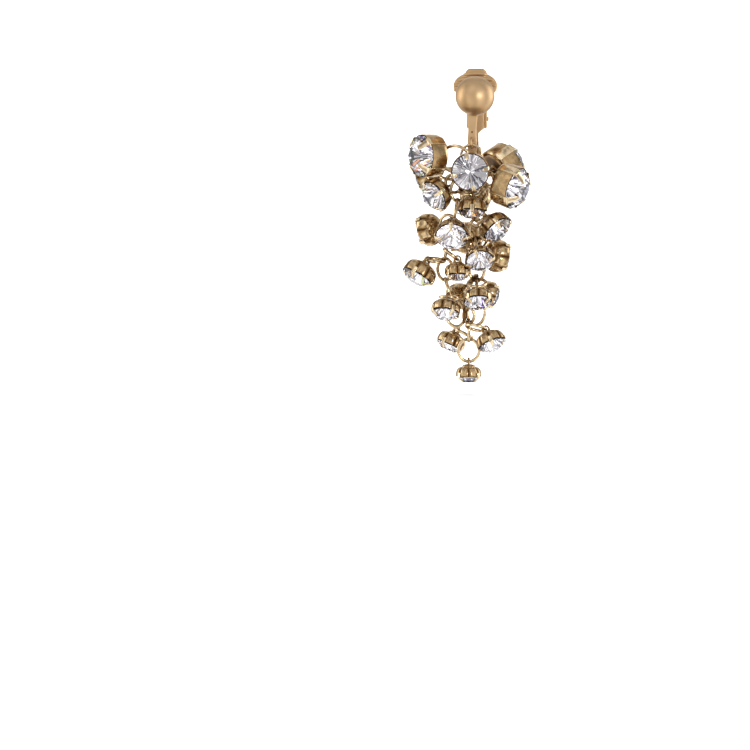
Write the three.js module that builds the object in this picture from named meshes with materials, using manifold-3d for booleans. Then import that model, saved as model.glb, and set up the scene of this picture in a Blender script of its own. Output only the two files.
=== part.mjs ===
// A clip-on chandelier earring: a satin gold ball on a sprung ear clip, and under it a tapering cluster
// of clear cut stones in claw settings, hung on two strands of round links.
// Millimetres, +Z up, the wearer's ear behind (+Y) and the viewer in front (-Y).
// The origin is the point where the clip grips the ear lobe.
import * as THREE from 'three';
import { mergeVertices } from 'three/addons/utils/BufferGeometryUtils.js';
import Module from 'manifold-3d';

const wasm = await Module();
wasm.setup();

// Driving dimensions of the ball front and the clip.
const BALL_DIAMETER = 7.9;
const BALL_BACK_GAP = 0.4;          // grip point to the back of the ball
const BALL_SIDEWAYS = 0.7;          // the ball is soldered a little to one side of the strap
const STRAP_THICKNESS = 0.7;
const STRAP_FORWARD = 3.1;          // grip point to the middle of the strap
const STRAP_TOP_WIDTH = 1.9;
const STRAP_WAIST_WIDTH = 1.5;
const STRAP_FOOT_WIDTH = 1.85;
const CLIP_DROP = 12.3;             // grip point down to the middle of the bottom bend
const BEND_RADIUS = 1.1;            // middle of the metal
const HINGE_BACK = 1.8;             // grip point back to the hinge pin
const HINGE_RISE = 1.15;            // bottom bend up to the hinge pin
const PIN_DIAMETER = 0.7;
const PIN_HEAD_DIAMETER = 1.1;
const PIN_HEAD_THICKNESS = 0.2;
const HINGE_WALL = 0.5;             // metal round the pin hole
const EAR_THICKNESS = 0.4;
const KNUCKLE_WIDTH = 1.0;
const RUNNING_GAP = 0.1;            // between pieces that move or sit loosely on each other
const LEVER_THICKNESS = 0.7;
const LEVER_WIDTH = 3.1;
const LEVER_BACK = 2.65;            // grip point to the middle of the lever
const LEVER_TOP = 4.3;
const LEVER_TAPER_DROP = 6.6;       // where the lever starts to narrow
const LEVER_TAPER_LENGTH = 0.9;

// The ribbed pad that presses on the lobe.
const PAD_WIDTH = 9.2;
const PAD_HEIGHT = 5.8;
const PAD_RISE = 2.0;               // grip point up to the middle of the pad
const PAD_FRONT_GAP = 0.45;         // grip point back to the front of the pad
const PAD_THICKNESS = 0.9;
const PAD_RIBS = 6;
const PAD_RIB_DEPTH = 0.22;
const FOLD_WIDTH = 4.2;
const FOLD_TOP = 5.5;
const FOLD_THICKNESS = 0.5;
const TAIL_DROP = 6.2;              // grip point down to the end of the tail
const TAIL_FINGER_WIDTH = 0.7;
const TAIL_SLOT_DROP = 1.0;         // grip point down to where the tail forks
const TAIL_STUD_DIAMETER = 0.9;

// Wire work.
const WIRE = 0.55;
const WIRE_BITE = 0.12;             // how far two fused wires press into each other
const EYE_RADIUS = 0.95;            // middle of the wire
const EYE_WIRE = 0.5;
const EYE_DROP = 9.4;
const DROP_RING_RADIUS = 2.05;
const LUG_HOLE_RADIUS = 0.5;        // the little lug behind each cup that its jump ring passes through
const LUG_WALL = 0.35;
const LUG_THICKNESS = 0.45;
const LUG_FOOT_WIDTH = 2.2;
const LINK_SIDES = 12;              // a jump ring hooks on at one of a link's corners
const LOOP_STEPS = 24;              // points tried along a jump ring
const JUMP_SPAN = 3.9;              // the usual width of a jump ring, middle to middle of its wire

// The cluster hangs from the drop ring's middle.
const CLUSTER_LENGTH = 45;
const CLUSTER_REACH = 10;           // sideways and in depth, for the stones' places
const CLUSTER_TURN = 8;             // degrees about the vertical, from the clip's own front

// Cut stones, graded with the cluster's length to about 8.2, 7.1, 6.2, 5.3 and 4.7, and their cups.
const LARGE = 0.1822 * CLUSTER_LENGTH;
const FRONT = 0.1578 * CLUSTER_LENGTH;
const MEDIUM = 0.1378 * CLUSTER_LENGTH;
const SMALL = 0.1178 * CLUSTER_LENGTH;
const TIP = 0.1044 * CLUSTER_LENGTH;
const STONE_GAP = 0.1;
const CUP_WALL = 0.3;
const CUP_DEPTH_SHARE = 0.46;       // of the stone's diameter
const RIM_BELOW_GIRDLE = 0.25;
const CLAW_THICKNESS = 0.2;
const CLAW_TIP_SHARE = 0.36;        // how far in from the middle the claws' tips reach
const PAVILION_SHARE = 0.4;         // the stone's depth under the girdle, of its diameter
const CROWN_SHARE = 0.19;
const TABLE_SHARE = 0.56;
const GIRDLE_THICKNESS = 0.16;

// Where each stone's girdle lies: across and depth as shares of the reach, down as a share of the
// length. Turn is 0 toward the viewer, 90 to the right and 180 to the back. Pitch is up from level.
// Spin turns the claws round the stone.
const STONES = [
  { name: 'top_left', size: LARGE, across: -1, depth: -0.3, down: 0.003, turn: -55, pitch: 0, spin: 45 },
  { name: 'top_centre', size: FRONT, across: -0.02, depth: -0.72, down: 0.072, turn: 0, pitch: -3, spin: 12 },
  { name: 'top_right', size: LARGE, across: 0.91, depth: -0.4, down: 0.146, turn: 62, pitch: -17, spin: 35 },
  { name: 'top_back_right', size: LARGE, across: 0.78, depth: 0.63, down: 0.027, turn: 120, pitch: 30, spin: 45 },
  { name: 'top_back_left', size: MEDIUM, across: -0.95, depth: 0.5, down: 0.106, turn: -120, pitch: -20, spin: 45 },
  { name: 'second_left', size: MEDIUM, across: -0.76, depth: -0.45, down: 0.181, turn: -50, pitch: -27, spin: 20 },
  { name: 'second_centre', size: SMALL, across: 0.02, depth: -0.44, down: 0.25, turn: 0, pitch: -76, spin: 90 },
  { name: 'second_back', size: MEDIUM, across: 0.1, depth: 0.68, down: 0.19, turn: 175, pitch: -30, spin: 45 },
  { name: 'third_right', size: MEDIUM, across: 0.53, depth: -0.35, down: 0.332, turn: 53, pitch: -41, spin: 45 },
  { name: 'third_left', size: MEDIUM, across: -0.38, depth: -0.6, down: 0.359, turn: -5, pitch: -35, spin: 90 },
  { name: 'third_back_left', size: MEDIUM, across: -0.92, depth: 0.38, down: 0.341, turn: -125, pitch: -14, spin: 45 },
  { name: 'third_back', size: MEDIUM, across: -0.1, depth: 0.65, down: 0.383, turn: -170, pitch: -25, spin: 45 },
  { name: 'fourth_right', size: SMALL, across: 0.18, depth: -0.5, down: 0.468, turn: 5, pitch: -40, spin: 20 },
  { name: 'fourth_back_right', size: MEDIUM, across: 0.6, depth: 0.35, down: 0.457, turn: 125, pitch: -10, spin: 45 },
  { name: 'fourth_left', size: MEDIUM, across: -1.07, depth: -0.2, down: 0.541, turn: -63, pitch: -56, spin: 45 },
  { name: 'fourth_centre', size: TIP, across: -0.27, depth: -0.24, down: 0.534, turn: 0, pitch: -80, spin: 45 },
  { name: 'fifth_left', size: SMALL, across: -0.51, depth: -0.5, down: 0.699, turn: -15, pitch: -65, spin: 45 },
  { name: 'fifth_right', size: SMALL, across: 0.14, depth: -0.52, down: 0.65, turn: 5, pitch: -60, spin: 45 },
  { name: 'fifth_back_right', size: SMALL, across: 0.42, depth: 0.55, down: 0.639, turn: 110, pitch: -20, spin: 45 },
  { name: 'fifth_back_left', size: SMALL, across: -0.25, depth: 0.6, down: 0.65, turn: -150, pitch: -40, spin: 45 },
  { name: 'sixth_left', size: SMALL, across: -0.43, depth: 0.32, down: 0.857, turn: -75, pitch: -65, spin: 45 },
  { name: 'sixth_right', size: SMALL, across: 0.43, depth: -0.36, down: 0.841, turn: 45, pitch: -58, spin: 45 },
  { name: 'tip', size: TIP, across: -0.04, depth: 0, down: 0.996, turn: 0, pitch: -86, spin: 45 },
];

// The points where each strand's links meet, from the drop ring down: across and depth as shares of
// the reach, and down from the middle of the drop ring as a share of the length.
const STRAND_ROUTES = {
  left: [
    [-0.24, 0, 0.111], [-0.28, 0, 0.2], [-0.34, 0, 0.289], [-0.46, 0.06, 0.378], [-0.53, 0.12, 0.467],
    [-0.51, 0.12, 0.556], [-0.4, 0.06, 0.644], [-0.26, -0.04, 0.76],
  ],
  right: [
    [0.17, 0.04, 0.113], [0.18, 0.1, 0.202], [0.11, 0.1, 0.291], [0.09, 0.09, 0.38], [0.11, 0.11, 0.469],
    [0.12, 0.07, 0.558], [0.12, 0.03, 0.649], [0.09, 0.04, 0.756],
  ],
  tail: [
    [-0.04, 0, 0.687], [-0.04, 0, 0.747], [-0.04, 0, 0.827],
  ],
};

const GOLD = { color: 0xc8a06e, metalness: 1, roughness: 0.38 };
const ANTIQUE = { color: 0xa58a5e, metalness: 1, roughness: 0.3 };
const GLASS = { color: 0xdedbe2, metalness: 0.2, roughness: 0.05 };

const vec = (x, y, z) => new THREE.Vector3(x, y, z);
const X_AXIS = vec(1, 0, 0);
const Y_AXIS = vec(0, 1, 0);
const Z_AXIS = vec(0, 0, 1);

// A closed mesh made into a solid that can be joined and cut.
function solidOf(geometry, matrix = new THREE.Matrix4()) {
  const moved = geometry.clone().applyMatrix4(matrix);
  moved.deleteAttribute('normal');
  moved.deleteAttribute('uv');
  const merged = mergeVertices(moved, 1e-4);
  const kept = [];
  const index = merged.index.array;
  for (let i = 0; i < index.length; i += 3) {
    const [a, b, c] = [index[i], index[i + 1], index[i + 2]];
    if (a !== b && b !== c && c !== a) kept.push(a, b, c);
  }
  return new wasm.Manifold(new wasm.Mesh({
    numProp: 3,
    vertProperties: new Float32Array(merged.attributes.position.array),
    triVerts: new Uint32Array(kept),
  }));
}

function geometryOf(solid) {
  const mesh = solid.getMesh();
  const geometry = new THREE.BufferGeometry();
  geometry.setAttribute('position', new THREE.BufferAttribute(mesh.vertProperties, 3));
  geometry.setIndex(new THREE.BufferAttribute(mesh.triVerts, 1));
  const flat = geometry.toNonIndexed();
  flat.computeVertexNormals();
  return flat;
}

const joined = (solids) => solids.reduce((whole, piece) => whole.add(piece));

function pieceOf(name, solid, look) {
  const mesh = new THREE.Mesh(geometryOf(solid), new THREE.MeshStandardMaterial(look));
  mesh.name = name;
  return mesh;
}

// Places a shape's own x, y and depth along three given directions.
function placed(right, up, out, origin) {
  return new THREE.Matrix4().makeBasis(right, up, out).setPosition(origin);
}

// An outline in the clip's side view (back, up), given a width across the clip about a middle.
function sideSlab(shape, width, middle = 0, curveSegments = 8) {
  const slab = new THREE.ExtrudeGeometry(shape, { depth: width, bevelEnabled: false, curveSegments });
  return solidOf(slab, placed(Y_AXIS, Z_AXIS, X_AXIS, vec(middle - width / 2, 0, 0)));
}

// An outline in the clip's front view (right, up), run back from one depth to another.
function frontSlab(shape, from, to, curveSegments = 8) {
  const slab = new THREE.ExtrudeGeometry(shape, { depth: to - from, bevelEnabled: false, curveSegments });
  return solidOf(slab, placed(X_AXIS, Z_AXIS, vec(0, -1, 0), vec(0, to, 0)));
}

function outline(points) {
  return new THREE.Shape(points.map(([x, y]) => new THREE.Vector2(x, y)));
}

function disc(x, y, radius) {
  const shape = new THREE.Shape();
  shape.absarc(x, y, radius, 0, 2 * Math.PI);
  return shape;
}

function rod(radius, length, middle, sides = 16) {
  const cylinder = new THREE.CylinderGeometry(radius, radius, length, sides);
  const turn = new THREE.Matrix4().makeRotationZ(Math.PI / 2);
  return solidOf(cylinder.applyMatrix4(turn), new THREE.Matrix4().setPosition(middle));
}

// A round wire ring about an axis. A corner of its facets points along a given direction, so that
// rings touch corner to corner where they meet.
function ring(centre, axis, start, radius, wire, sides = 10, wireSides = 5) {
  const torus = new THREE.TorusGeometry(radius, wire / 2, wireSides, sides);
  return solidOf(torus, placed(start, axis.clone().cross(start), axis, centre));
}

// Clip frame: ball, strap, bottom bend, ears and eye, soldered together.
const PIN = vec(0, HINGE_BACK, HINGE_RISE - CLIP_DROP);
const BALL = vec(BALL_SIDEWAYS, -BALL_BACK_GAP - BALL_DIAMETER / 2, 0);
const EYE = vec(0, -STRAP_FORWARD - STRAP_THICKNESS / 2 - EYE_RADIUS, -EYE_DROP);
const KNUCKLE_RADIUS = PIN_DIAMETER / 2 + RUNNING_GAP + HINGE_WALL;

function strapSide() {
  const half = STRAP_THICKNESS / 2;
  const front = -STRAP_FORWARD;
  const bendBack = front + BEND_RADIUS;
  const bendUp = -CLIP_DROP + BEND_RADIUS;
  const shape = new THREE.Shape();
  shape.moveTo(front - half, 0);
  shape.lineTo(front - half, bendUp);
  shape.absarc(bendBack, bendUp, BEND_RADIUS + half, Math.PI, 1.5 * Math.PI);
  shape.lineTo(HINGE_BACK, -CLIP_DROP - half);
  shape.lineTo(HINGE_BACK, -CLIP_DROP + half);
  shape.lineTo(bendBack, -CLIP_DROP + half);
  shape.absarc(bendBack, bendUp, BEND_RADIUS - half, 1.5 * Math.PI, Math.PI, true);
  shape.lineTo(front + half, 0);
  return shape;
}

function clipFrame() {
  const waist = -EYE_DROP * 0.72;
  const foot = -EYE_DROP * 0.92;
  const front = outline([
    [-STRAP_TOP_WIDTH / 2, 0], [-STRAP_TOP_WIDTH / 2, -BALL_DIAMETER * 0.52], [-STRAP_WAIST_WIDTH / 2, waist],
    [-STRAP_FOOT_WIDTH / 2, foot], [-STRAP_FOOT_WIDTH / 2, -2 * CLIP_DROP],
    [STRAP_FOOT_WIDTH / 2, -2 * CLIP_DROP], [STRAP_FOOT_WIDTH / 2, foot],
    [STRAP_WAIST_WIDTH / 2, waist], [STRAP_TOP_WIDTH / 2, -BALL_DIAMETER * 0.52], [STRAP_TOP_WIDTH / 2, 0],
  ]);
  const strap = sideSlab(strapSide(), 2 * STRAP_FOOT_WIDTH)
    .intersect(frontSlab(front, -3 * STRAP_FORWARD, 3 * HINGE_BACK));
  const sphere = new THREE.SphereGeometry(BALL_DIAMETER / 2, 20, 12);
  const ball = solidOf(sphere, new THREE.Matrix4().setPosition(BALL));
  const eye = ring(EYE, X_AXIS, Y_AXIS, EYE_RADIUS, EYE_WIRE, 12);
  const knuckleRoom = rod(KNUCKLE_RADIUS + RUNNING_GAP, KNUCKLE_WIDTH + 2 * RUNNING_GAP, PIN);
  const earMiddle = KNUCKLE_WIDTH / 2 + RUNNING_GAP + EAR_THICKNESS / 2;
  const ears = [-earMiddle, earMiddle].map((x) => joined([
    sideSlab(disc(PIN.y, PIN.z, KNUCKLE_RADIUS), EAR_THICKNESS, x),
    sideSlab(outline([
      [PIN.y - 2 * KNUCKLE_RADIUS, -CLIP_DROP - STRAP_THICKNESS / 2],
      [PIN.y + KNUCKLE_RADIUS, -CLIP_DROP - STRAP_THICKNESS / 2],
      [PIN.y + KNUCKLE_RADIUS, PIN.z], [PIN.y - KNUCKLE_RADIUS, PIN.z],
    ]), EAR_THICKNESS, x),
  ]));
  const hole = rod(PIN_DIAMETER / 2 + RUNNING_GAP, 4 * KNUCKLE_WIDTH, PIN);
  return joined([strap.subtract(knuckleRoom), ball, eye, ...ears]).subtract(hole);
}

function hingePin() {
  const length = KNUCKLE_WIDTH + 2 * EAR_THICKNESS + 4 * RUNNING_GAP;
  const heads = [-1, 1].map((side) => rod(
    PIN_HEAD_DIAMETER / 2,
    PIN_HEAD_THICKNESS,
    PIN.clone().add(vec(side * (length + PIN_HEAD_THICKNESS) / 2, 0, 0)),
  ));
  return joined([rod(PIN_DIAMETER / 2, length + PIN_HEAD_THICKNESS, PIN), ...heads]);
}

function clipLever() {
  const half = LEVER_THICKNESS / 2;
  const taper = -LEVER_TAPER_DROP;
  const plate = frontSlab(outline([
    [-LEVER_WIDTH / 2, LEVER_TOP], [-LEVER_WIDTH / 2, taper],
    [-KNUCKLE_WIDTH / 2, taper - LEVER_TAPER_LENGTH], [-KNUCKLE_WIDTH / 2, PIN.z],
    [KNUCKLE_WIDTH / 2, PIN.z], [KNUCKLE_WIDTH / 2, taper - LEVER_TAPER_LENGTH],
    [LEVER_WIDTH / 2, taper], [LEVER_WIDTH / 2, LEVER_TOP],
  ]), LEVER_BACK - half, LEVER_BACK + half);
  const knuckle = sideSlab(disc(PIN.y, PIN.z, KNUCKLE_RADIUS), KNUCKLE_WIDTH);
  const web = sideSlab(outline([
    [PIN.y, PIN.z], [LEVER_BACK + half, PIN.z], [LEVER_BACK + half, PIN.z + 2 * KNUCKLE_RADIUS],
    [LEVER_BACK - half, PIN.z + 2 * KNUCKLE_RADIUS],
  ]), KNUCKLE_WIDTH);
  const hole = rod(PIN_DIAMETER / 2 + RUNNING_GAP, 4 * KNUCKLE_WIDTH, PIN);
  return joined([plate, knuckle, web]).subtract(hole);
}

// Pad: a ribbed side profile cut to an oval, its top folded over the lever, and a forked tail behind.
function lobePad() {
  const bottom = PAD_RISE - PAD_HEIGHT / 2;
  const pitch = PAD_HEIGHT / PAD_RIBS;
  const ribbed = [[PAD_FRONT_GAP + PAD_THICKNESS, bottom]];
  for (let rib = 0; rib < PAD_RIBS; rib += 1) {
    ribbed.push([PAD_FRONT_GAP + PAD_RIB_DEPTH, bottom + rib * pitch]);
    ribbed.push([PAD_FRONT_GAP, bottom + (rib + 0.5) * pitch]);
  }
  ribbed.push([PAD_FRONT_GAP + PAD_RIB_DEPTH, bottom + PAD_HEIGHT]);
  ribbed.push([PAD_FRONT_GAP + PAD_THICKNESS, bottom + PAD_HEIGHT]);
  const oval = new THREE.Shape();
  oval.absellipse(0, PAD_RISE, PAD_WIDTH / 2, PAD_HEIGHT / 2, 0, 2 * Math.PI);
  const plate = sideSlab(outline(ribbed.reverse()), 2 * PAD_WIDTH)
    .intersect(frontSlab(oval, -PAD_WIDTH, PAD_WIDTH, 12));
  const tailFront = LEVER_BACK + LEVER_THICKNESS / 2 + RUNNING_GAP;
  const tailBack = tailFront + FOLD_THICKNESS;
  const foldFront = PAD_FRONT_GAP + PAD_RIB_DEPTH;
  const corner = FOLD_THICKNESS;
  const fold = sideSlab(outline([
    [foldFront, PAD_RISE], [foldFront + FOLD_THICKNESS, PAD_RISE],
    [foldFront + FOLD_THICKNESS, FOLD_TOP - FOLD_THICKNESS], [tailFront, FOLD_TOP - FOLD_THICKNESS],
    [tailFront, -TAIL_DROP], [tailBack, -TAIL_DROP], [tailBack, FOLD_TOP - corner],
    [tailBack - corner, FOLD_TOP], [foldFront + corner, FOLD_TOP], [foldFront, FOLD_TOP - corner],
  ]), FOLD_WIDTH);
  const finger = TAIL_FINGER_WIDTH / 2;
  const inner = FOLD_WIDTH / 2 - TAIL_FINGER_WIDTH;
  const cut = new THREE.Shape();
  cut.moveTo(inner, -2 * TAIL_DROP);
  cut.lineTo(inner, -TAIL_SLOT_DROP - inner);
  cut.absarc(0, -TAIL_SLOT_DROP - inner, inner, 0, Math.PI);
  cut.lineTo(-inner, -2 * TAIL_DROP);
  const slot = frontSlab(cut, LEVER_BACK, 2 * tailBack);
  const ends = [-1, 1].map((side) => frontSlab(
    disc(side * (FOLD_WIDTH / 2 - finger), -TAIL_DROP, finger), tailFront, tailBack,
  ));
  const stud = rod(TAIL_STUD_DIAMETER / 2, FOLD_WIDTH / 2 + finger - inner,
    vec((FOLD_WIDTH / 2 + finger + inner) / 2, (tailFront + tailBack) / 2, -TAIL_DROP * 0.75), 10)
    .intersect(frontSlab(disc(FOLD_WIDTH / 2, -TAIL_DROP * 0.75, TAIL_STUD_DIAMETER), tailFront, tailBack));
  return joined([plate, fold.subtract(slot), ...ends, stud]);
}

// A place in the cluster, from the drop ring's middle.
function clusterPoint(across, depth, down) {
  return vec(across * CLUSTER_REACH, depth * CLUSTER_REACH, -down * CLUSTER_LENGTH);
}

// Stones and cups are drawn facing +Z with the girdle at zero height, then turned to their places.
function facing(stone) {
  const turn = THREE.MathUtils.degToRad(stone.turn);
  const pitch = THREE.MathUtils.degToRad(stone.pitch);
  const out = vec(Math.sin(turn) * Math.cos(pitch), -Math.cos(turn) * Math.cos(pitch), Math.sin(pitch));
  const right = vec(Math.cos(turn), Math.sin(turn), 0);
  const up = out.clone().cross(right);
  const centre = clusterPoint(stone.across, stone.depth, stone.down);
  return { out, right, up, centre };
}

function crystalGeometry(size) {
  const half = size / 2;
  const positions = [];
  const corner = (radius, step, height) => {
    const angle = (step * Math.PI) / 8;
    return [radius * Math.cos(angle), radius * Math.sin(angle), height];
  };
  const face = (...corners) => positions.push(...corners.flat());
  const [top, bottom] = [GIRDLE_THICKNESS / 2, -GIRDLE_THICKNESS / 2];
  const crown = top + size * CROWN_SHARE;
  const culet = [0, 0, bottom - size * PAVILION_SHARE];
  const table = (step) => corner(half * TABLE_SHARE, step, crown);
  const upper = (step) => corner(half, step, top);
  const lower = (step) => corner(half, step, bottom);
  for (let step = 0; step < 16; step += 2) {
    face([0, 0, crown], table(step), table(step + 2));
    face(table(step), upper(step + 1), table(step + 2));
    face(table(step), upper(step), upper(step + 1));
    face(table(step + 2), upper(step + 1), upper(step + 2));
  }
  for (let step = 0; step < 16; step += 1) {
    face(upper(step), lower(step), lower(step + 1));
    face(upper(step), lower(step + 1), upper(step + 1));
    face(lower(step), culet, lower(step + 1));
  }
  const geometry = new THREE.BufferGeometry();
  geometry.setAttribute('position', new THREE.Float32BufferAttribute(positions, 3));
  return geometry;
}

const cupInner = (size) => size / 2 + STONE_GAP;
const cupOuter = (size) => cupInner(size) + CUP_WALL;
const cupBase = (size) => RIM_BELOW_GIRDLE + size * CUP_DEPTH_SHARE;
const holeDepth = (size) => cupBase(size) + LUG_WALL + LUG_HOLE_RADIUS;

// Large cups have straight walls. The smaller ones are domed and have pressed flutes.
const PLAIN_CUP = { sides: 16, corner: 0.88, cornerDepth: 1, shoulder: 1, shoulderDepth: 0.86, flute: 0 };
const DOMED_CUP = {
  sides: 12, corner: 0.62, cornerDepth: 0.94, shoulder: 0.97, shoulderDepth: 0.58, flute: 0.03,
};

function cup(size) {
  const style = size >= FRONT ? PLAIN_CUP : DOMED_CUP;
  const [inner, outer, base] = [cupInner(size), cupOuter(size), cupBase(size)];
  const profile = [
    [0, -base], [outer * style.corner, -base * style.cornerDepth],
    [outer * style.shoulder, -base * style.shoulderDepth],
    [outer, -RIM_BELOW_GIRDLE], [inner, -RIM_BELOW_GIRDLE],
    [0, -size * PAVILION_SHARE - GIRDLE_THICKNESS - STONE_GAP],
  ].map(([x, y]) => new THREE.Vector2(x, y));
  const lathe = new THREE.LatheGeometry(profile, style.sides);
  const place = lathe.attributes.position;
  for (let i = 0; i < place.count; i += 1) {
    const [x, y, z] = [place.getX(i), place.getY(i), place.getZ(i)];
    const onWall = Math.hypot(x, z) > inner * 0.9 && y < -RIM_BELOW_GIRDLE - STONE_GAP;
    const swell = onWall ? 1 + style.flute * Math.cos((style.sides / 2) * Math.atan2(z, x)) : 1;
    place.setXYZ(i, x * swell, y, z * swell);
  }
  return solidOf(lathe, new THREE.Matrix4().makeRotationX(Math.PI / 2));
}

function claws(size, spin) {
  const width = size * (size >= FRONT ? 0.15 : 0.13);
  const inner = cupInner(size) + CUP_WALL * 0.1;
  const crown = size * CROWN_SHARE;
  const tip = size * CLAW_TIP_SHARE;
  const root = -RIM_BELOW_GIRDLE - STONE_GAP;
  const shape = outline([
    [inner, root], [inner + CLAW_THICKNESS, root], [inner + CLAW_THICKNESS, crown * 0.35],
    [tip, crown + 2.5 * STONE_GAP], [inner, GIRDLE_THICKNESS],
  ]);
  const strip = new THREE.ExtrudeGeometry(shape, { depth: width, bevelEnabled: false });
  return [0, 90, 180, 270].map((quarter) => {
    const angle = THREE.MathUtils.degToRad(spin + quarter);
    const along = vec(Math.cos(angle), Math.sin(angle), 0);
    const across = along.clone().cross(Z_AXIS);
    return solidOf(strip, placed(along, Z_AXIS, across, across.clone().multiplyScalar(-width / 2)));
  });
}

// A flat lug with a hole, its face across the direction that the jump ring runs in.
function lug(size, through) {
  const drop = -holeDepth(size);
  const foot = -cupBase(size) + LUG_WALL / 2;
  const outside = LUG_HOLE_RADIUS + LUG_WALL;
  const shape = new THREE.Shape();
  shape.moveTo(LUG_FOOT_WIDTH / 2, foot);
  shape.lineTo(-LUG_FOOT_WIDTH / 2, foot);
  shape.absarc(0, drop, outside, Math.PI, 2 * Math.PI);
  const hole = new THREE.Path();
  hole.absarc(0, drop, LUG_HOLE_RADIUS, 0, 2 * Math.PI);
  shape.holes.push(hole);
  const cut = { depth: LUG_THICKNESS, bevelEnabled: false, curveSegments: 4 };
  const plate = new THREE.ExtrudeGeometry(shape, cut);
  const side = Z_AXIS.clone().cross(through);
  return solidOf(plate, placed(side, Z_AXIS, through, through.clone().multiplyScalar(-LUG_THICKNESS / 2)));
}

// The chain: link centres and planes from the places where links meet.
function strandLinks(points, startsFlat) {
  const links = [];
  for (let i = 0; i + 1 < points.length; i += 1) {
    const [from, to] = [points[i], points[i + 1]];
    const along = to.clone().sub(from).normalize();
    const across = along.clone().cross(Y_AXIS).normalize();
    const flat = (i % 2 === 0) === startsFlat;
    links.push({
      centre: from.clone().add(to).multiplyScalar(0.5),
      axis: flat ? Y_AXIS.clone() : across,
      along,
      radius: from.distanceTo(to) / 2 + (WIRE - WIRE_BITE) / 2,
    });
  }
  return links;
}

// A strand's top link runs round the drop ring's wire with a little play.
function strandStart(first) {
  return first.clone().setY(0).normalize()
    .multiplyScalar(DROP_RING_RADIUS - 2.5 * RUNNING_GAP - (WIRE + WIRE_BITE) / 2);
}

const routes = Object.fromEntries(Object.entries(STRAND_ROUTES)
  .map(([name, points]) => [name, points.map(([across, depth, down]) => clusterPoint(across, depth, down))]));
const links = [
  ...strandLinks([strandStart(routes.left[0]), ...routes.left], false),
  ...strandLinks([strandStart(routes.right[0]), ...routes.right], false),
  ...strandLinks(routes.tail, true),
];

// How deep a round wire loop cuts into the drop ring and the stones' cups, summed over points along it.
function cutsInto(own, middle, right, up, radius) {
  const straighten = THREE.MathUtils.degToRad(CLUSTER_TURN);
  let depth = 0;
  for (let step = 0; step < LOOP_STEPS; step += 1) {
    const angle = (step * 2 * Math.PI) / LOOP_STEPS;
    const point = middle.clone().addScaledVector(right, radius * Math.cos(angle))
      .addScaledVector(up, radius * Math.sin(angle));
    const level = point.clone().applyAxisAngle(Z_AXIS, straighten);
    const toDropRing = Math.hypot(Math.hypot(level.x, level.z) - DROP_RING_RADIUS, level.y);
    depth += Math.max(0, WIRE + RUNNING_GAP - toDropRing);
    for (const stone of STONES) {
      const { out, centre } = facing(stone);
      const back = stone === own ? cupBase(stone.size) : holeDepth(stone.size);
      const inside = point.clone().sub(centre);
      const height = inside.dot(out);
      const side = Math.sqrt(Math.max(0, inside.lengthSq() - height * height));
      const room = Math.min(cupOuter(stone.size) - side, back + height, stone.size * CROWN_SHARE - height);
      depth += Math.max(0, room + WIRE / 2 + RUNNING_GAP);
    }
  }
  return depth;
}

// Where on the links a stone's jump ring hooks: near the usual span, clear of the other cups,
// hanging down, and with its wire crossing the link's squarely.
function hookFor(stone) {
  const { out, centre } = facing(stone);
  const hole = centre.clone().addScaledVector(out, -holeDepth(stone.size));
  let best = null;
  for (const link of links) {
    const side = link.axis.clone().cross(link.along).normalize();
    for (let step = 0; step < LINK_SIDES; step += 1) {
      const angle = (step * 2 * Math.PI) / LINK_SIDES;
      const radial = link.along.clone().multiplyScalar(Math.cos(angle))
        .addScaledVector(side, Math.sin(angle));
      const point = link.centre.clone().addScaledVector(radial, link.radius);
      const along = hole.clone().sub(point).normalize();
      const far = point.clone().addScaledVector(along, WIRE_BITE - WIRE);
      const radius = far.distanceTo(hole) / 2;
      const wire = link.axis.clone().cross(radial);
      const through = out.clone().cross(along);
      if (through.length() < 0.2) through.copy(wire).cross(along);
      through.normalize();
      const middle = far.clone().add(hole).multiplyScalar(0.5);
      const cost = Math.abs(2 * radius - JUMP_SPAN) + Math.abs(wire.dot(through)) + Math.max(0, along.z)
        + Math.max(0, -radial.dot(along)) + 2 * cutsInto(stone, middle, along, through, radius);
      if (!best || cost < best.cost) best = { cost, middle, radius, along, through };
    }
  }
  return best;
}

function buildCluster() {
  const cluster = new THREE.Group();
  const wires = links.map((link) => ring(link.centre, link.axis, link.along, link.radius, WIRE, LINK_SIDES));
  for (const stone of STONES) {
    const { out, right, up, centre } = facing(stone);
    const hook = hookFor(stone);
    const axis = hook.along.clone().cross(hook.through).normalize();
    wires.push(ring(hook.middle, axis, hook.along, hook.radius, WIRE));
    const place = placed(right, up, out, centre);
    const turn = new THREE.Quaternion().setFromRotationMatrix(place);
    const through = hook.through.clone().applyQuaternion(turn.clone().invert());
    const setting = joined([
      cup(stone.size), ...claws(stone.size, stone.spin), lug(stone.size, through.setZ(0).normalize()),
    ]);
    const pieces = [
      pieceOf(`setting_${stone.name}`, setting, ANTIQUE),
      pieceOf(`crystal_${stone.name}`, solidOf(crystalGeometry(stone.size)), GLASS),
    ];
    for (const piece of pieces) {
      piece.position.copy(centre);
      piece.quaternion.copy(turn);
      cluster.add(piece);
    }
  }
  cluster.add(pieceOf('chain_links', joined(wires), ANTIQUE));
  return cluster;
}

const group = new THREE.Group();
group.add(pieceOf('clip_frame', clipFrame(), GOLD));
group.add(pieceOf('hinge_pin', hingePin(), GOLD));
group.add(pieceOf('clip_lever', clipLever(), GOLD));
group.add(pieceOf('lobe_pad', lobePad(), GOLD));

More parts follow.
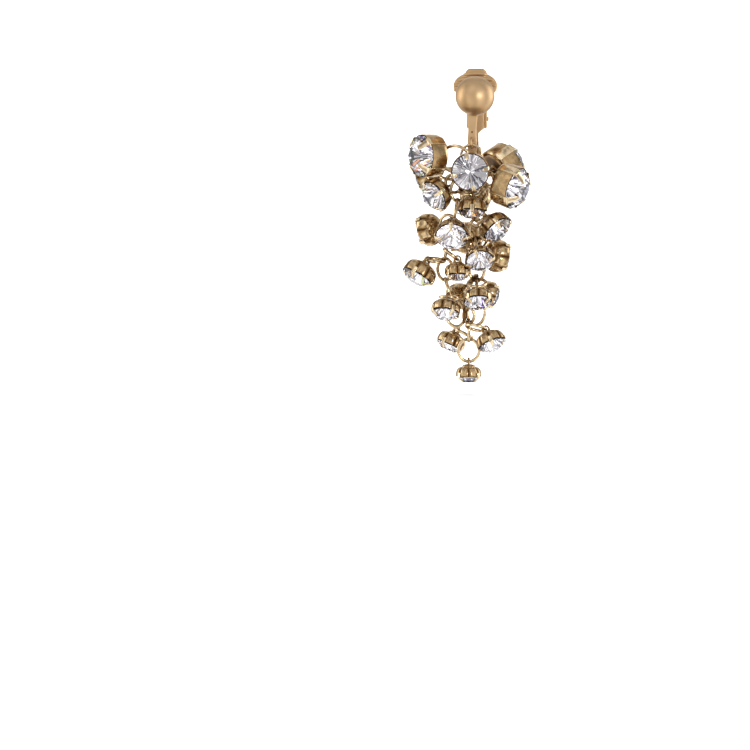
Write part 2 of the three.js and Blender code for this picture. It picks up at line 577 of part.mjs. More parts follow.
// The drop ring rests in the eye, and the cluster hangs from the drop ring's middle.
const ringTop = EYE.z - EYE_RADIUS + EYE_WIRE / 2 + RUNNING_GAP + WIRE / 2;
const ringCentre = vec(0, EYE.y, ringTop - DROP_RING_RADIUS);
group.add(pieceOf('drop_ring', ring(ringCentre, Y_AXIS, Z_AXIS, DROP_RING_RADIUS, WIRE, 16, 6), ANTIQUE));

const cluster = buildCluster();
cluster.position.copy(ringCentre);
cluster.rotation.z = THREE.MathUtils.degToRad(CLUSTER_TURN);
group.add(cluster);

export default group;
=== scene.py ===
# %% [markdown]
# # A clip-on chandelier earring
# A satin gold ball sits in front of a sprung ear clip, and under it hangs a tapering cluster of clear
# cut stones in claw settings on two strands of oval links. The metal frame comes from the CAD
# model, in metres, with the point that grips the ear lobe as the origin. This lesson dresses each
# CAD piece with a finer one at the same place, and gives every surface its own finish.

# %% Load the frame
import math
import bmesh
import bpy
import numpy as np
from mathutils import Matrix, Vector


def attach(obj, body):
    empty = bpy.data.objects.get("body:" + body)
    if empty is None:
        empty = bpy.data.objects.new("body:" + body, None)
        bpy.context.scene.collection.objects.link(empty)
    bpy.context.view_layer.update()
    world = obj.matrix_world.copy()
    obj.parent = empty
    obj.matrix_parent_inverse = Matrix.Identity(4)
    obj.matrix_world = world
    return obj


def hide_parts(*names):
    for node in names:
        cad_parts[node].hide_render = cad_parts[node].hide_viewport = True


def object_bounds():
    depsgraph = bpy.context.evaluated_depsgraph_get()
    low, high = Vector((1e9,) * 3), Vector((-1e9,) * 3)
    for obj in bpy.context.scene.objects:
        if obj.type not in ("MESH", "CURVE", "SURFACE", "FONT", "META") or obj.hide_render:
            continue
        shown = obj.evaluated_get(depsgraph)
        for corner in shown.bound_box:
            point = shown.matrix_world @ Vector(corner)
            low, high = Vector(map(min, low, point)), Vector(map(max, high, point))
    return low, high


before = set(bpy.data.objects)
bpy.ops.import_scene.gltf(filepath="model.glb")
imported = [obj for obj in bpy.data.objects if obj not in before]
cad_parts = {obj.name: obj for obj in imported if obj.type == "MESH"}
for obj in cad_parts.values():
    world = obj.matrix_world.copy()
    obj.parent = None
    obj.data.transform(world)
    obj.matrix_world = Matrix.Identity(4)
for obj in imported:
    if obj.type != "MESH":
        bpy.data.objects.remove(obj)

cad_low, cad_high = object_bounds()
print("CAD box in mm:", [round(v * 1000, 2) for v in (*cad_low, *cad_high)])

# %% [markdown]
# ## Helpers
# Everything is drawn in millimetres, as a bench jeweller would measure it, and turned to metres when
# its mesh is made. A colour is given as a hex value, so one function turns it to the linear
# light that Blender mixes. One more adds a node with its settings and links, and a few short ones on
# top of it name the steps that come again and again, so that each tree reads as a list of steps.

# %% Units, colours and nodes
MM = 0.001


def linear(hex_code):
    """An sRGB hex colour as linear red, green, blue and alpha."""
    parts = [int(hex_code[i:i + 2], 16) / 255 for i in (1, 3, 5)]
    return [c / 12.92 if c <= 0.04045 else ((c + 0.055) / 1.055) ** 2.4 for c in parts] + [1.0]


def feed(tree, node, inputs):
    """Gives each named input of a node a value or a link."""
    for name, value in inputs.items():
        if isinstance(value, bpy.types.NodeSocket):
            tree.links.new(value, node.inputs[name])
        else:
            node.inputs[name].default_value = value
    return node


def add(tree, kind, inputs=None, **settings):
    """Adds a node with its settings and its inputs."""
    node = tree.nodes.new(kind)
    for name, value in settings.items():
        setattr(node, name, value)
    return feed(tree, node, inputs or {})


def calc(tree, operation, *values):
    """The result of a math node on up to three values."""
    return add(tree, "ShaderNodeMath", dict(enumerate(values)), operation=operation).outputs[0]


def spread(tree, value, low, high, start=0.0, end=1.0):
    """A value carried from the range start to end over to the range low to high."""
    reach = {"Value": value, "From Min": start, "From Max": end, "To Min": low, "To Max": high}
    return add(tree, "ShaderNodeMapRange", reach).outputs["Result"]


def noise(tree, place, scale, detail=1.0, **more):
    """A cloudy pattern whose patches are about 1 / scale of a metre wide."""
    look = {"Vector": place, "Scale": scale, "Detail": detail, **more}
    return add(tree, "ShaderNodeTexNoise", look).outputs["Fac"]


def embossed(tree, height, strength, depth):
    """The normal of a bump with a depth in millimetres."""
    bump = add(tree, "ShaderNodeBump", {"Height": height, "Strength": strength, "Distance": depth * MM})
    return bump.outputs["Normal"]


def new_material(name):
    """An empty node material with its output, its shader and the piece's own coordinates."""
    material = bpy.data.materials.new(name)
    material.use_nodes = True
    tree = material.node_tree
    tree.nodes.clear()
    shader = add(tree, "ShaderNodeBsdfPrincipled")
    add(tree, "ShaderNodeOutputMaterial", {"Surface": shader.outputs["BSDF"]})
    place = add(tree, "ShaderNodeTexCoord").outputs["Object"]
    return material, tree, shader, place


def ramp(tree, value, stops):
    """A colour ramp from places and hex colours."""
    node = add(tree, "ShaderNodeValToRGB", {"Fac": value})
    while len(node.color_ramp.elements) < len(stops):
        node.color_ramp.elements.new(0.5)
    for element, (at, hex_code) in zip(node.color_ramp.elements, stops):
        element.position = at
        element.color = linear(hex_code)
    return node.outputs["Color"]


# %% [markdown]
# ## Satin gold plate
# The ball and the clip are stamped brass, blasted with fine beads and then gold plated. The beads
# leave a soft even grain, so highlights are broad and edges glow. Real grain is about 0.05 mm, too
# fine for this view, so it is drawn at 0.16 mm and very shallow. A slow cloudiness about 3 mm wide
# is the slight unevenness of the plating. The strap's small dimple is not modelled: a dark spot of painted
# shade on the strap stands in for the shade inside it.

# %% Satin gold
# Where the strap's dimple is. It is not modelled, and a spot of painted shade marks it.
DIMPLE_SHADE_SPOT = Vector((0.0, -3.45, -7.2))


def make_satin_gold():
    material, tree, shader, place = new_material("Satin gold plated brass")
    cloud = noise(tree, place, 320.0, 2.0)
    colour = ramp(tree, cloud, [(0.3, "#B3926A"), (0.7, "#C2A47E")])
    # A small dark spot of painted shade on the strap, in place of the shade inside its dimple.
    away = add(tree, "ShaderNodeVectorMath", {0: place, 1: DIMPLE_SHADE_SPOT * MM}, operation="SUBTRACT").outputs[0]
    reach = add(tree, "ShaderNodeVectorMath", {0: away}, operation="LENGTH").outputs["Value"]
    inside = spread(tree, reach, 1.0, 0.0, 0.14 * MM, 0.24 * MM)
    with_painted_shade = add(tree, "ShaderNodeMix", {0: inside, 6: colour, 7: linear("#5A3A1C")}, data_type="RGBA")
    feed(tree, shader, {
        "Base Color": with_painted_shade.outputs[2], "Metallic": 1.0, "Roughness": spread(tree, cloud, 0.4, 0.47),
        "Normal": embossed(tree, noise(tree, place, 6000.0), 0.12, 0.02),
    })
    return material


SATIN_GOLD = make_satin_gold()

# %% [markdown]
# ## Antique gold plate
# Settings and rings are plated in a greener gold, dipped in a dark patina and wiped. The wiped
# backs of ridges are bright and smooth, and the dark stays in grooves, under rims and in wire
# crotches. Each piece carries a per-point attribute that says how dark a point is painted, from 0
# for wiped to 1 for a groove: the patina kept in hollows and the shade that falls there, both painted
# in. The finish mixes its colours and gloss by it. A noise about 0.6 mm wide breaks the edge of the patina,
# as hand wiping does.

# %% Antique gold
def make_antique_gold():
    material, tree, shader, place = new_material("Antique gold plated brass")
    # How dark a point is painted: the patina in hollows, with painted shade there too.
    patina_and_shade_level = add(tree, "ShaderNodeAttribute", attribute_name="patina_and_painted_shade").outputs["Fac"]
    uneven = spread(tree, noise(tree, place, 1600.0, 3.0, Roughness=0.6), -0.22, 0.22)
    mixed = add(tree, "ShaderNodeMath", {0: patina_and_shade_level, 1: uneven}, operation="ADD", use_clamp=True).outputs[0]
    golds = [(0.0, "#DEC9A6"), (0.28, "#B2966D"), (0.62, "#72532F"), (1.0, "#38210C")]
    feed(tree, shader, {
        "Base Color": ramp(tree, mixed, golds), "Metallic": 1.0, "Roughness": spread(tree, mixed, 0.15, 0.42),
        "Normal": embossed(tree, noise(tree, place, 900.0), 0.5, 0.12),
    })
    return material


ANTIQUE_GOLD = make_antique_gold()

# %% [markdown]
# ## Foil-backed crystal
# The stones are machine-cut lead glass. The crown is clear and the cone under it is coated with
# silver foil, so light goes in through the crown, bounces between the cone's facets and comes out
# broken up. That is modelled as it is: clear glass with an index of 1.56 on the crown, and a mirror
# on the cone. Glass splits white light a little. Its small glints of violet, blue, green and orange
# are painted on the cone's facets as a faint tint for each facet, and some facets get a grey of
# painted dark reflection, all in a per-face attribute.

# %% Crown glass and silver foil
def make_crown_glass():
    material, tree, shader, place = new_material("Clear lead crystal")
    feed(tree, shader, {
        "Base Color": linear("#F7F5FA"), "IOR": 1.56, "Transmission Weight": 1.0,
        "Roughness": spread(tree, noise(tree, place, 700.0), 0.0, 0.02),
    })
    return material


def make_foil():
    material, tree, shader, place = new_material("Silver foil backing")
    # Facet colours: the foil's white, greys of painted dark reflection and painted glints of fire.
    foil_with_painted_light = add(tree, "ShaderNodeAttribute", attribute_name="foil_with_painted_light").outputs["Color"]
    feed(tree, shader, {
        "Base Color": foil_with_painted_light, "Metallic": 1.0, "Roughness": 0.04,
        "Normal": embossed(tree, noise(tree, place, 500.0), 0.1, 0.05),
    })
    return material


CROWN_GLASS = make_crown_glass()
FOIL = make_foil()
print("finishes:", [m.name for m in bpy.data.materials])

# %% [markdown]
# ## Mesh helpers
# Most small jewellery parts come from three stock forms: a turned form, a strip bent along a line,
# and a plate pierced from sheet. One function draws each of them in millimetres, as points and
# faces. Others turn them into an object whose place is in its mesh, point its faces outward, and
# mark edges sharper than 40 degrees.

# %% Turned, bent and pierced forms
def turned(profile, sides, shape=None):
    """A closed form about Z through (radius, height) points, starting and ending on the axis.
    shape(angle, step, radius, height) may move a point."""
    points, rows = [], []
    for step, (radius, height) in enumerate(profile):
        row = []
        for side in range(1 if radius == 0 else sides):
            angle = 2 * math.pi * side / sides
            r, z = shape(angle, step, radius, height) if shape else (radius, height)
            row.append(len(points))
            points.append((r * math.cos(angle), r * math.sin(angle), z))
        rows.append(row if len(row) > 1 else row * sides)
    faces = []
    for a, b in zip(rows, rows[1:]):
        for side in range(sides):
            following = (side + 1) % sides
            corners = dict.fromkeys((a[side], a[following], b[following], b[side]))
            faces.append(tuple(corners))
    return points, faces


def rounded_section(width, thickness, corner, steps=3):
    """Points round a rectangle with rounded corners."""
    corner = min(corner, width / 2, thickness / 2)
    places = []
    for quarter, (x, y) in enumerate(((1, 1), (-1, 1), (-1, -1), (1, -1))):
        for step in range(steps + 1):
            angle = math.pi / 2 * (quarter + step / steps)
            places.append((x * (width / 2 - corner) + corner * math.cos(angle),
                           y * (thickness / 2 - corner) + corner * math.sin(angle)))
    return places


def bent_strip(path, across, widths, thicknesses, corner):
    """A strip along a line of points. Its width lies along one fixed direction."""
    path = [Vector(p) for p in path]
    across = Vector(across).normalized()
    points, faces, count = [], [], 0
    for i, centre in enumerate(path):
        along = (path[min(i + 1, len(path) - 1)] - path[max(i - 1, 0)]).normalized()
        outward = along.cross(across).normalized()
        section = rounded_section(widths[i], thicknesses[i], corner)
        count = len(section)
        points += [tuple(centre + across * x + outward * y) for x, y in section]
    for i in range(len(path) - 1):
        here, there = i * count, (i + 1) * count
        for k in range(count):
            following = (k + 1) % count
            faces.append((here + k, here + following, there + following, there + k))
    faces.append(tuple(range(count))[::-1])
    faces.append(tuple((len(path) - 1) * count + k for k in range(count)))
    return points, faces


def in_scene(name, data):
    """A new object in the scene for a mesh, curve, lamp or camera."""
    thing = bpy.data.objects.new(name, data)
    bpy.context.scene.collection.objects.link(thing)
    return thing


def evaluated(blank):
    """The finished mesh of an object, which is then removed."""
    ready = blank.evaluated_get(bpy.context.evaluated_depsgraph_get())
    mesh = bpy.data.meshes.new_from_object(ready)
    bpy.data.objects.remove(blank)
    return mesh


def form_of(mesh, unit_length):
    """A mesh's points, in units of a length, and its faces."""
    return [tuple(v.co / unit_length) for v in mesh.vertices], [tuple(f.vertices) for f in mesh.polygons]


def plate(outlines, thickness, edge):
    """A flat plate with rounded edges, centred on Z, from an outline and its holes."""
    curve = bpy.data.curves.new("plate", "CURVE")
    curve.dimensions = "2D"
    curve.fill_mode = "BOTH"
    curve.extrude = thickness / 2 - edge
    curve.bevel_depth = edge
    curve.bevel_resolution = 2
    curve.offset = -edge
    for outline in outlines:
        spline = curve.splines.new("POLY")
        spline.points.add(len(outline) - 1)
        for point, (x, y) in zip(spline.points, outline):
            point.co = (x, y, 0, 1)
        spline.use_cyclic_u = True
    mesh = evaluated(in_scene("plate", curve))
    form = form_of(mesh, 1.0)
    bpy.data.curves.remove(curve)
    bpy.data.meshes.remove(mesh)
    return form


def arc(x, y, radius, start, end, steps=12):
    """Points along an arc, in degrees."""
    angles = [math.radians(start + (end - start) * i / steps) for i in range(steps + 1)]
    return [(x + radius * math.cos(a), y + radius * math.sin(a)) for a in angles]


def moved(form, matrix):
    """A form's points carried by a matrix, with its faces as they are."""
    points, faces = form
    return [tuple(matrix @ Vector(p)) for p in points], faces


def together(*forms):
    """Several forms as one, each still its own closed shell."""
    points, faces = [], []
    for form_points, form_faces in forms:
        faces += [tuple(i + len(points) for i in face) for face in form_faces]
        points += list(form_points)
    return points, faces


# %% Objects from forms
def mesh_in_metres(name, points, faces):
    """A mesh from points in millimetres."""
    mesh = bpy.data.meshes.new(name)
    mesh.from_pydata([[c * MM for c in p] for p in points], [], faces)
    return mesh


def clean_mesh(name, form, merged=True):
    """A mesh in metres with its faces outward, and with doubles merged if wanted."""
    mesh = mesh_in_metres(name, *form)
    work = bmesh.new()
    work.from_mesh(mesh)
    if merged:
        bmesh.ops.remove_doubles(work, verts=work.verts, dist=1e-7)
    bmesh.ops.recalc_face_normals(work, faces=work.faces)
    work.to_mesh(mesh)
    work.free()
    return mesh


def make_piece(name, mesh, body, slot, *stands_for, smooth=True):
    """An object for a mesh, riding on its body in place of CAD nodes."""
    if smooth:
        mesh.shade_smooth()
        mesh.set_sharp_from_angle(angle=math.radians(40))
    piece = in_scene(name, mesh)
    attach(piece, body)
    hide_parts(*stands_for)
    triangles = sum(len(f.vertices) - 2 for f in mesh.polygons)
    print(f"{name}: {triangles} triangles")


def dress(mesh, material):
    """Gives a mesh one material throughout."""
    mesh.materials.clear()
    mesh.materials.append(material)
    return mesh


def facing_frame(right, up, out, place):
    """Carries a drawing's x, y and depth to given directions at a place."""
    return Matrix((
        (right[0], up[0], out[0], place[0]), (right[1], up[1], out[1], place[1]),
        (right[2], up[2], out[2], place[2]), (0, 0, 0, 1),
    ))


def front_view(depth):
    """Stands a drawing square to the viewer."""
    return facing_frame((1, 0, 0), (0, 0, 1), (0, -1, 0), (0, depth, 0))


def side_view(sideways):
    """Stands a drawing square to the right."""
    return facing_frame((0, 1, 0), (0, 0, 1), (1, 0, 0), (sideways, 0, 0))


# %% [markdown]
# ## The ball and its strap
# The front is a hollow brass ball 7.9 mm across, soldered onto a flat strap. The strap narrows to
# a waist, carries a wire eye for the drop, and bends under to the hinge. A turned form makes the
# ball and a bent strip makes the strap, because that is how the real ones are made.

# %% Sizes of the clip
BALL_RADIUS = 3.95
BALL = Vector((0.7, -4.35, 0.0))
STRAP_FRONT = -3.1
STRAP_THICKNESS, STRAP_EDGE = 0.7, 0.14
BEND_BOTTOM = -12.3
BEND_RADIUS = 1.1
# Under the knuckle the strap is thinned and set down, to leave it room.
SEAT_THICKNESS, SEAT_SINK = 0.42, 0.14
PIN = Vector((0.0, 1.8, -11.15))
PIN_HOLE = 0.45
KNUCKLE_RADIUS = 0.95
KNUCKLE_WIDTH = 1.0
EAR_THICKNESS, EAR_SIDEWAYS, EAR_FRONT = 0.4, 0.8, 1.35
EYE = Vector((0.0, -4.4, -9.4))
EYE_RADIUS, EYE_WIRE = 0.95, 0.5
LEVER_BACK = 2.65
LEVER_THICKNESS, LEVER_HALF, LEVER_NECK_HALF = 0.7, 1.55, 0.46
LEVER_TOP, LEVER_SHOULDER, LEVER_NECK, LEVER_END = 4.3, -6.6, -7.5, -10.4


def strap_width(height):
    """The strap's width at a height: narrow at the waist, wider above it and at the eye."""
    return float(np.interp(height, [-8.65, -6.8, -4.1, 0.0], [1.85, 1.65, 2.15, 2.15]))


def make_clip_front():
    r, bend = BALL_RADIUS, BEND_BOTTOM + BEND_RADIUS
    ball_profile = [(0.0, -r)]
    ball_profile += [(r * math.sin(a), -r * math.cos(a)) for a in np.linspace(0, math.pi, 41)[1:-1]]
    ball = moved(turned(ball_profile + [(0.0, r)], 72), Matrix.Translation(BALL))
    line = [(STRAP_FRONT, z) for z in np.linspace(-0.6, bend, 24)]
    line += arc(STRAP_FRONT + BEND_RADIUS, bend, BEND_RADIUS, 180, 270, 10)[1:]
    line += [(-0.4, BEND_BOTTOM), (0.35, BEND_BOTTOM), (0.6, BEND_BOTTOM - SEAT_SINK),
             (1.75, BEND_BOTTOM - SEAT_SINK)]
    path = [(0, y, z) for y, z in line]
    thicknesses = [STRAP_THICKNESS] * (len(path) - 2) + [SEAT_THICKNESS] * 2
    widths = [strap_width(z) for _, z in line]
    return together(ball, bent_strip(path, (1, 0, 0), widths, thicknesses, STRAP_EDGE))


# %% [markdown]
# Two ears stand up from the strap's end, pierced for the hinge pin. They are a plate with a hole,
# drawn in side view. The eye is round wire bent to a ring and soldered to the strap's face.

# %% Ears and eye
def make_ears():
    y, z = PIN.y, PIN.z
    foot = BEND_BOTTOM - STRAP_THICKNESS / 2
    outline = [(y - EAR_FRONT, foot), (y + KNUCKLE_RADIUS, foot)] + arc(y, z, KNUCKLE_RADIUS, 0, 165, 20)
    hole = arc(y, z, PIN_HOLE, 0, 330, 11)
    blank = plate([outline, hole], EAR_THICKNESS, 0.07)
    return together(*(moved(blank, side_view(x)) for x in (-EAR_SIDEWAYS, EAR_SIDEWAYS)))


def wire_ring(centre, axis, radius, wire, sides=48, round_sides=12):
    """A closed ring of round wire about an axis."""
    points, faces = [], []
    turn = Vector((0, 0, 1)).rotation_difference(Vector(axis))
    for i in range(sides):
        a = 2 * math.pi * i / sides
        here, there = i * round_sides, (i + 1) % sides * round_sides
        for j in range(round_sides):
            b = 2 * math.pi * j / round_sides
            r = radius + wire / 2 * math.cos(b)
            local = Vector((r * math.cos(a), r * math.sin(a), wire / 2 * math.sin(b)))
            points.append(tuple(Vector(centre) + turn @ local))
            following = (j + 1) % round_sides
            faces.append((here + j, there + j, there + following, here + following))
    return points, faces


eye = wire_ring(EYE, (1, 0, 0), EYE_RADIUS, EYE_WIRE)
clip_front = dress(clean_mesh("clip_front", together(make_clip_front(), make_ears(), eye)), SATIN_GOLD)
make_piece("ball_and_strap", clip_front, "clip", "satin_gold_plate", "clip_frame")

# %% [markdown]
# The hinge pin is a rivet: its ends are peened to low domes over the ears. A turned form drawn
# along Z and laid along X gives both domes and the shank in one closed piece.

# %% Hinge pin
rivet_profile = [(0.0, -1.13), (0.3, -1.11), (0.48, -1.04), (0.55, -0.97), (0.5, -0.935), (0.35, -0.93),
                 (0.35, 0.93), (0.5, 0.935), (0.55, 0.97), (0.48, 1.04), (0.3, 1.11), (0.0, 1.13)]
rivet_turn = Matrix.Translation(PIN) @ Matrix.Rotation(math.pi / 2, 4, "Y")
rivet = dress(clean_mesh("hinge_rivet", moved(turned(rivet_profile, 24), rivet_turn)), SATIN_GOLD)
make_piece("hinge_rivet", rivet, "clip", "satin_gold_plate", "hinge_pin")

# %% [markdown]
# ## The lever and its pad
# The lever is a stamped plate that pinches the lobe against the ball's back. Its foot is rolled
# into a knuckle for the hinge. Over its top hooks a soft-looking but solid pad: an oval face with
# six rounded ribs, and a folded tail forked into two fingers that clasp the lever behind.

# %% Lever
def make_lever():
    corner, wide, neck = 0.5, LEVER_HALF, LEVER_NECK_HALF
    outline = (
        arc(wide - corner, LEVER_TOP - corner, corner, 0, 90, 6)
        + arc(corner - wide, LEVER_TOP - corner, corner, 90, 180, 6)
        + [(-wide, LEVER_SHOULDER), (-neck, LEVER_NECK), (-neck, LEVER_END)]
        + [(neck, LEVER_END), (neck, LEVER_NECK), (wide, LEVER_SHOULDER)]
    )
    blade = moved(plate([outline], LEVER_THICKNESS, 0.12), front_view(LEVER_BACK))
    y, z = PIN.y, PIN.z
    roll = [(2.95, z + 1.9), (2.35, z + 1.9)] + arc(y, z, KNUCKLE_RADIUS, 100, 350, 26) + [(2.95, z)]
    hole = arc(y, z, PIN_HOLE, 0, 330, 11)
    return together(blade, moved(plate([roll, hole], KNUCKLE_WIDTH, 0.08), side_view(0)))


lever = dress(clean_mesh("lever", make_lever()), SATIN_GOLD)
make_piece("sprung_lever", lever, "lever", "satin_gold_plate", "clip_lever")

# %% [markdown]
# The ribs follow a rule, so Geometry Nodes make them: points stand one above the other, each
# carries a bar as long as the oval is wide at that height, the bar's ends are rounded, and all bars
# bend down a little toward their ends. The tree's inputs are the pad's sizes in metres.

# %% Ribs of the pad
def tree_with(name, inputs):
    """A geometry tree with its named inputs, and a map from a name to its identifier."""
    tree = bpy.data.node_groups.new(name, "GeometryNodeTree")
    tree.interface.new_socket("Geometry", in_out="INPUT", socket_type="NodeSocketGeometry")
    tree.interface.new_socket("Geometry", in_out="OUTPUT", socket_type="NodeSocketGeometry")
    keys = {}
    for label, kind in inputs.items():
        keys[label] = tree.interface.new_socket(label, in_out="INPUT", socket_type=kind).identifier
    return tree, add(tree, "NodeGroupInput"), keys


def grown(name, mesh, tree, keys, values):
    """The mesh that a tree makes from a mesh and named values."""
    blank = in_scene(name, mesh)
    modifier = blank.modifiers.new("shape", "NODES")
    modifier.node_group = tree
    for label, value in values.items():
        modifier[keys[label]] = value
    result = evaluated(blank)
    result.name = name
    return result


def rib_tree():
    tree, given, keys = tree_with("pad ribs", {
        "Ribs": "NodeSocketInt", "Width": "NodeSocketFloat", "Height": "NodeSocketFloat",
        "Depth": "NodeSocketFloat", "Bend": "NodeSocketFloat", "Material": "NodeSocketMaterial",
    })
    inp = given.outputs
    pitch = calc(tree, "DIVIDE", inp["Height"], inp["Ribs"])
    index = add(tree, "GeometryNodeInputIndex").outputs[0]
    rise = calc(tree, "MULTIPLY", calc(tree, "ADD", index, 0.5), pitch)
    half = calc(tree, "MULTIPLY", inp["Height"], 0.5)
    level = calc(tree, "SUBTRACT", rise, half)
    share = calc(tree, "DIVIDE", level, half)
    rest = calc(tree, "SUBTRACT", 1.0, calc(tree, "POWER", share, 2.0))
    length = calc(tree, "MULTIPLY", calc(tree, "POWER", rest, 0.5), inp["Width"])
    place = add(tree, "ShaderNodeCombineXYZ", {"Z": level}).outputs[0]
    row = add(tree, "GeometryNodeMeshLine", {"Count": inp["Ribs"], "Offset": (0.0, 0.0, 0.0)}).outputs[0]
    column = add(tree, "GeometryNodeSetPosition", {"Geometry": row, "Position": place}).outputs[0]
    # One bar: a ball laid on its side, with its ends made blunt.
    ball = add(tree, "GeometryNodeMeshUVSphere", {"Segments": 16, "Rings": 24, "Radius": 1.0}).outputs[0]
    old = add(tree, "GeometryNodeInputPosition").outputs[0]
    x, y, z = add(tree, "ShaderNodeSeparateXYZ", {0: old}).outputs
    blunt = calc(tree, "POWER", calc(tree, "ABSOLUTE", z), RIB_BLUNTNESS)
    end = calc(tree, "MULTIPLY", calc(tree, "SIGN", z), blunt)
    laid = add(tree, "ShaderNodeCombineXYZ", {"X": end, "Y": x, "Z": y}).outputs[0]
    bar = add(tree, "GeometryNodeSetPosition", {"Geometry": ball, "Position": laid}).outputs[0]
    stretch = add(tree, "ShaderNodeCombineXYZ", {
        "X": calc(tree, "MULTIPLY", length, 0.5), "Y": inp["Depth"], "Z": calc(tree, "MULTIPLY", pitch, 0.5),
    }).outputs[0]
    bars = add(tree, "GeometryNodeInstanceOnPoints", {"Points": column, "Instance": bar, "Scale": stretch})
    real = add(tree, "GeometryNodeRealizeInstances", {0: bars.outputs[0]}).outputs[0]
    spot = add(tree, "GeometryNodeInputPosition").outputs[0]
    sideways = add(tree, "ShaderNodeSeparateXYZ", {0: spot}).outputs["X"]
    fall = calc(tree, "MULTIPLY", calc(tree, "MULTIPLY", sideways, sideways), inp["Bend"])
    shift = add(tree, "ShaderNodeCombineXYZ", {"Z": fall}).outputs[0]
    bent = add(tree, "GeometryNodeSetPosition", {"Geometry": real, "Offset": shift}).outputs[0]
    made = add(tree, "GeometryNodeSetMaterial", {"Geometry": bent, "Material": inp["Material"]}).outputs[0]
    add(tree, "NodeGroupOutput", {"Geometry": made})
    return tree, keys


PAD_RISE = 2.0
PAD_WIDTH, PAD_HEIGHT = 9.2, 5.8
RIB_BLUNTNESS = 0.55
RIB_BACK = 0.79
ribs = grown("pad_ribs", bpy.data.meshes.new("seed"), *rib_tree(), {
    "Ribs": 6, "Width": PAD_WIDTH * 0.98 * MM, "Height": PAD_HEIGHT * MM, "Depth": 0.34 * MM,
    "Bend": -22.0, "Material": SATIN_GOLD,
})
rib_form = moved(form_of(ribs, MM), Matrix.Translation((0, RIB_BACK, PAD_RISE)))
print("pad ribs:", len(ribs.polygons), "faces")

# %% [markdown]
# Behind the ribs lies the pad's oval plate. Its tongue folds over the top of the lever and goes
# down behind it, pierced to two fingers, and the right finger ends beside a small raised stud.

# %% Pad plate, fold, tail and stud
PLATE_BACK, PLATE_SHARE, PLATE_THICKNESS = 1.03, 0.975, 0.62
FOLD_FRONT, FOLD_RISE, FOLD_BEND, FOLD_THICKNESS = 0.92, 4.8, 0.45, 0.5
TAIL_MIDDLE, TAIL_HALF, TAIL_TOP, TAIL_END = 3.35, 2.1, 3.8, -6.2
FINGER, SLOT_HALF, SLOT_TOP = 0.35, 1.4, -2.4
STUD = Vector((1.925, TAIL_MIDDLE, -4.65))


def fold_width(height):
    """The fold's width: drawn in toward its top."""
    share = min(1, max(0, (height - 4.4) / 1.1))
    return 2 * TAIL_HALF * math.sqrt(1 - 0.8 * share ** 2)


def make_pad():
    half_width, half_height = PAD_WIDTH / 2 * PLATE_SHARE, PAD_HEIGHT / 2 * PLATE_SHARE
    oval = [(half_width * math.cos(a), PAD_RISE + half_height * math.sin(a))
            for a in np.linspace(0, 2 * math.pi, 60, endpoint=False)]
    face = moved(plate([oval], PLATE_THICKNESS, 0.2), front_view(PLATE_BACK))
    over = [(FOLD_FRONT, z) for z in (2.0, 3.9, 4.3, 4.6)]
    over += arc(FOLD_FRONT + FOLD_BEND, FOLD_RISE, FOLD_BEND, 180, 90, 6)
    over += arc(TAIL_MIDDLE - FOLD_BEND, FOLD_RISE, FOLD_BEND, 90, 0, 6)
    over += [(TAIL_MIDDLE, 4.4), (TAIL_MIDDLE, TAIL_TOP)]
    fold = bent_strip([(0, y, z) for y, z in over], (1, 0, 0), [fold_width(z) for _, z in over],
                      [FOLD_THICKNESS] * len(over), 0.2)
    tail_outline = (
        [(TAIL_HALF, TAIL_TOP), (-TAIL_HALF, TAIL_TOP)]
        + arc(FINGER - TAIL_HALF, TAIL_END, FINGER, 180, 360, 8)
        + arc(0, SLOT_TOP, SLOT_HALF, 180, 0, 16)
        + arc(TAIL_HALF - FINGER, TAIL_END, FINGER, 180, 360, 8)
    )
    tail = moved(plate([tail_outline], FOLD_THICKNESS, 0.1), front_view(TAIL_MIDDLE))
    stud_profile = [(0.0, -0.52), (0.38, -0.5), (0.45, -0.42), (0.45, 0.42), (0.38, 0.5), (0.0, 0.52)]
    flat = Matrix.Diagonal((1, 0.56, 1, 1)) @ Matrix.Rotation(math.pi / 2, 4, "Y")
    stud = moved(turned(stud_profile, 20), Matrix.Translation(STUD) @ flat)
    return together(rib_form, face, fold, tail, stud)


pad = dress(clean_mesh("pad", make_pad()), SATIN_GOLD)
make_piece("ribbed_pad", pad, "lever", "satin_gold_plate", "lobe_pad")

# %% [markdown]
# ## Where the stones hang
# Each stone has a trade size, a place and a direction. Places are shares of the cluster's reach
# and length, from the middle of the drop ring, and the whole cluster is turned 8 degrees from the
# clip. Turn is 0 toward the viewer and 90 to the right, pitch is up from level, and spin turns
# the claws. The CAD model was built from the same list, so both agree.

# %% Table of stones
CLUSTER_LENGTH = 45.0
CLUSTER_REACH = 10.0
CLUSTER_TURN = math.radians(8)
LARGE, FRONT, MEDIUM, SMALL, TIP = (s * CLUSTER_LENGTH for s in (0.1822, 0.1578, 0.1378, 0.1178, 0.1044))
DROP_RING_RADIUS = 2.05
RING_MIDDLE = Vector((0, EYE.y, -11.775))
WIRE = 0.55
ROUND_WIRE = 0.7
WIRE_BITE = 0.12
LINK_WAIST, JUMP_RING_WAIST = 0.68, 0.92
GAP = 0.1

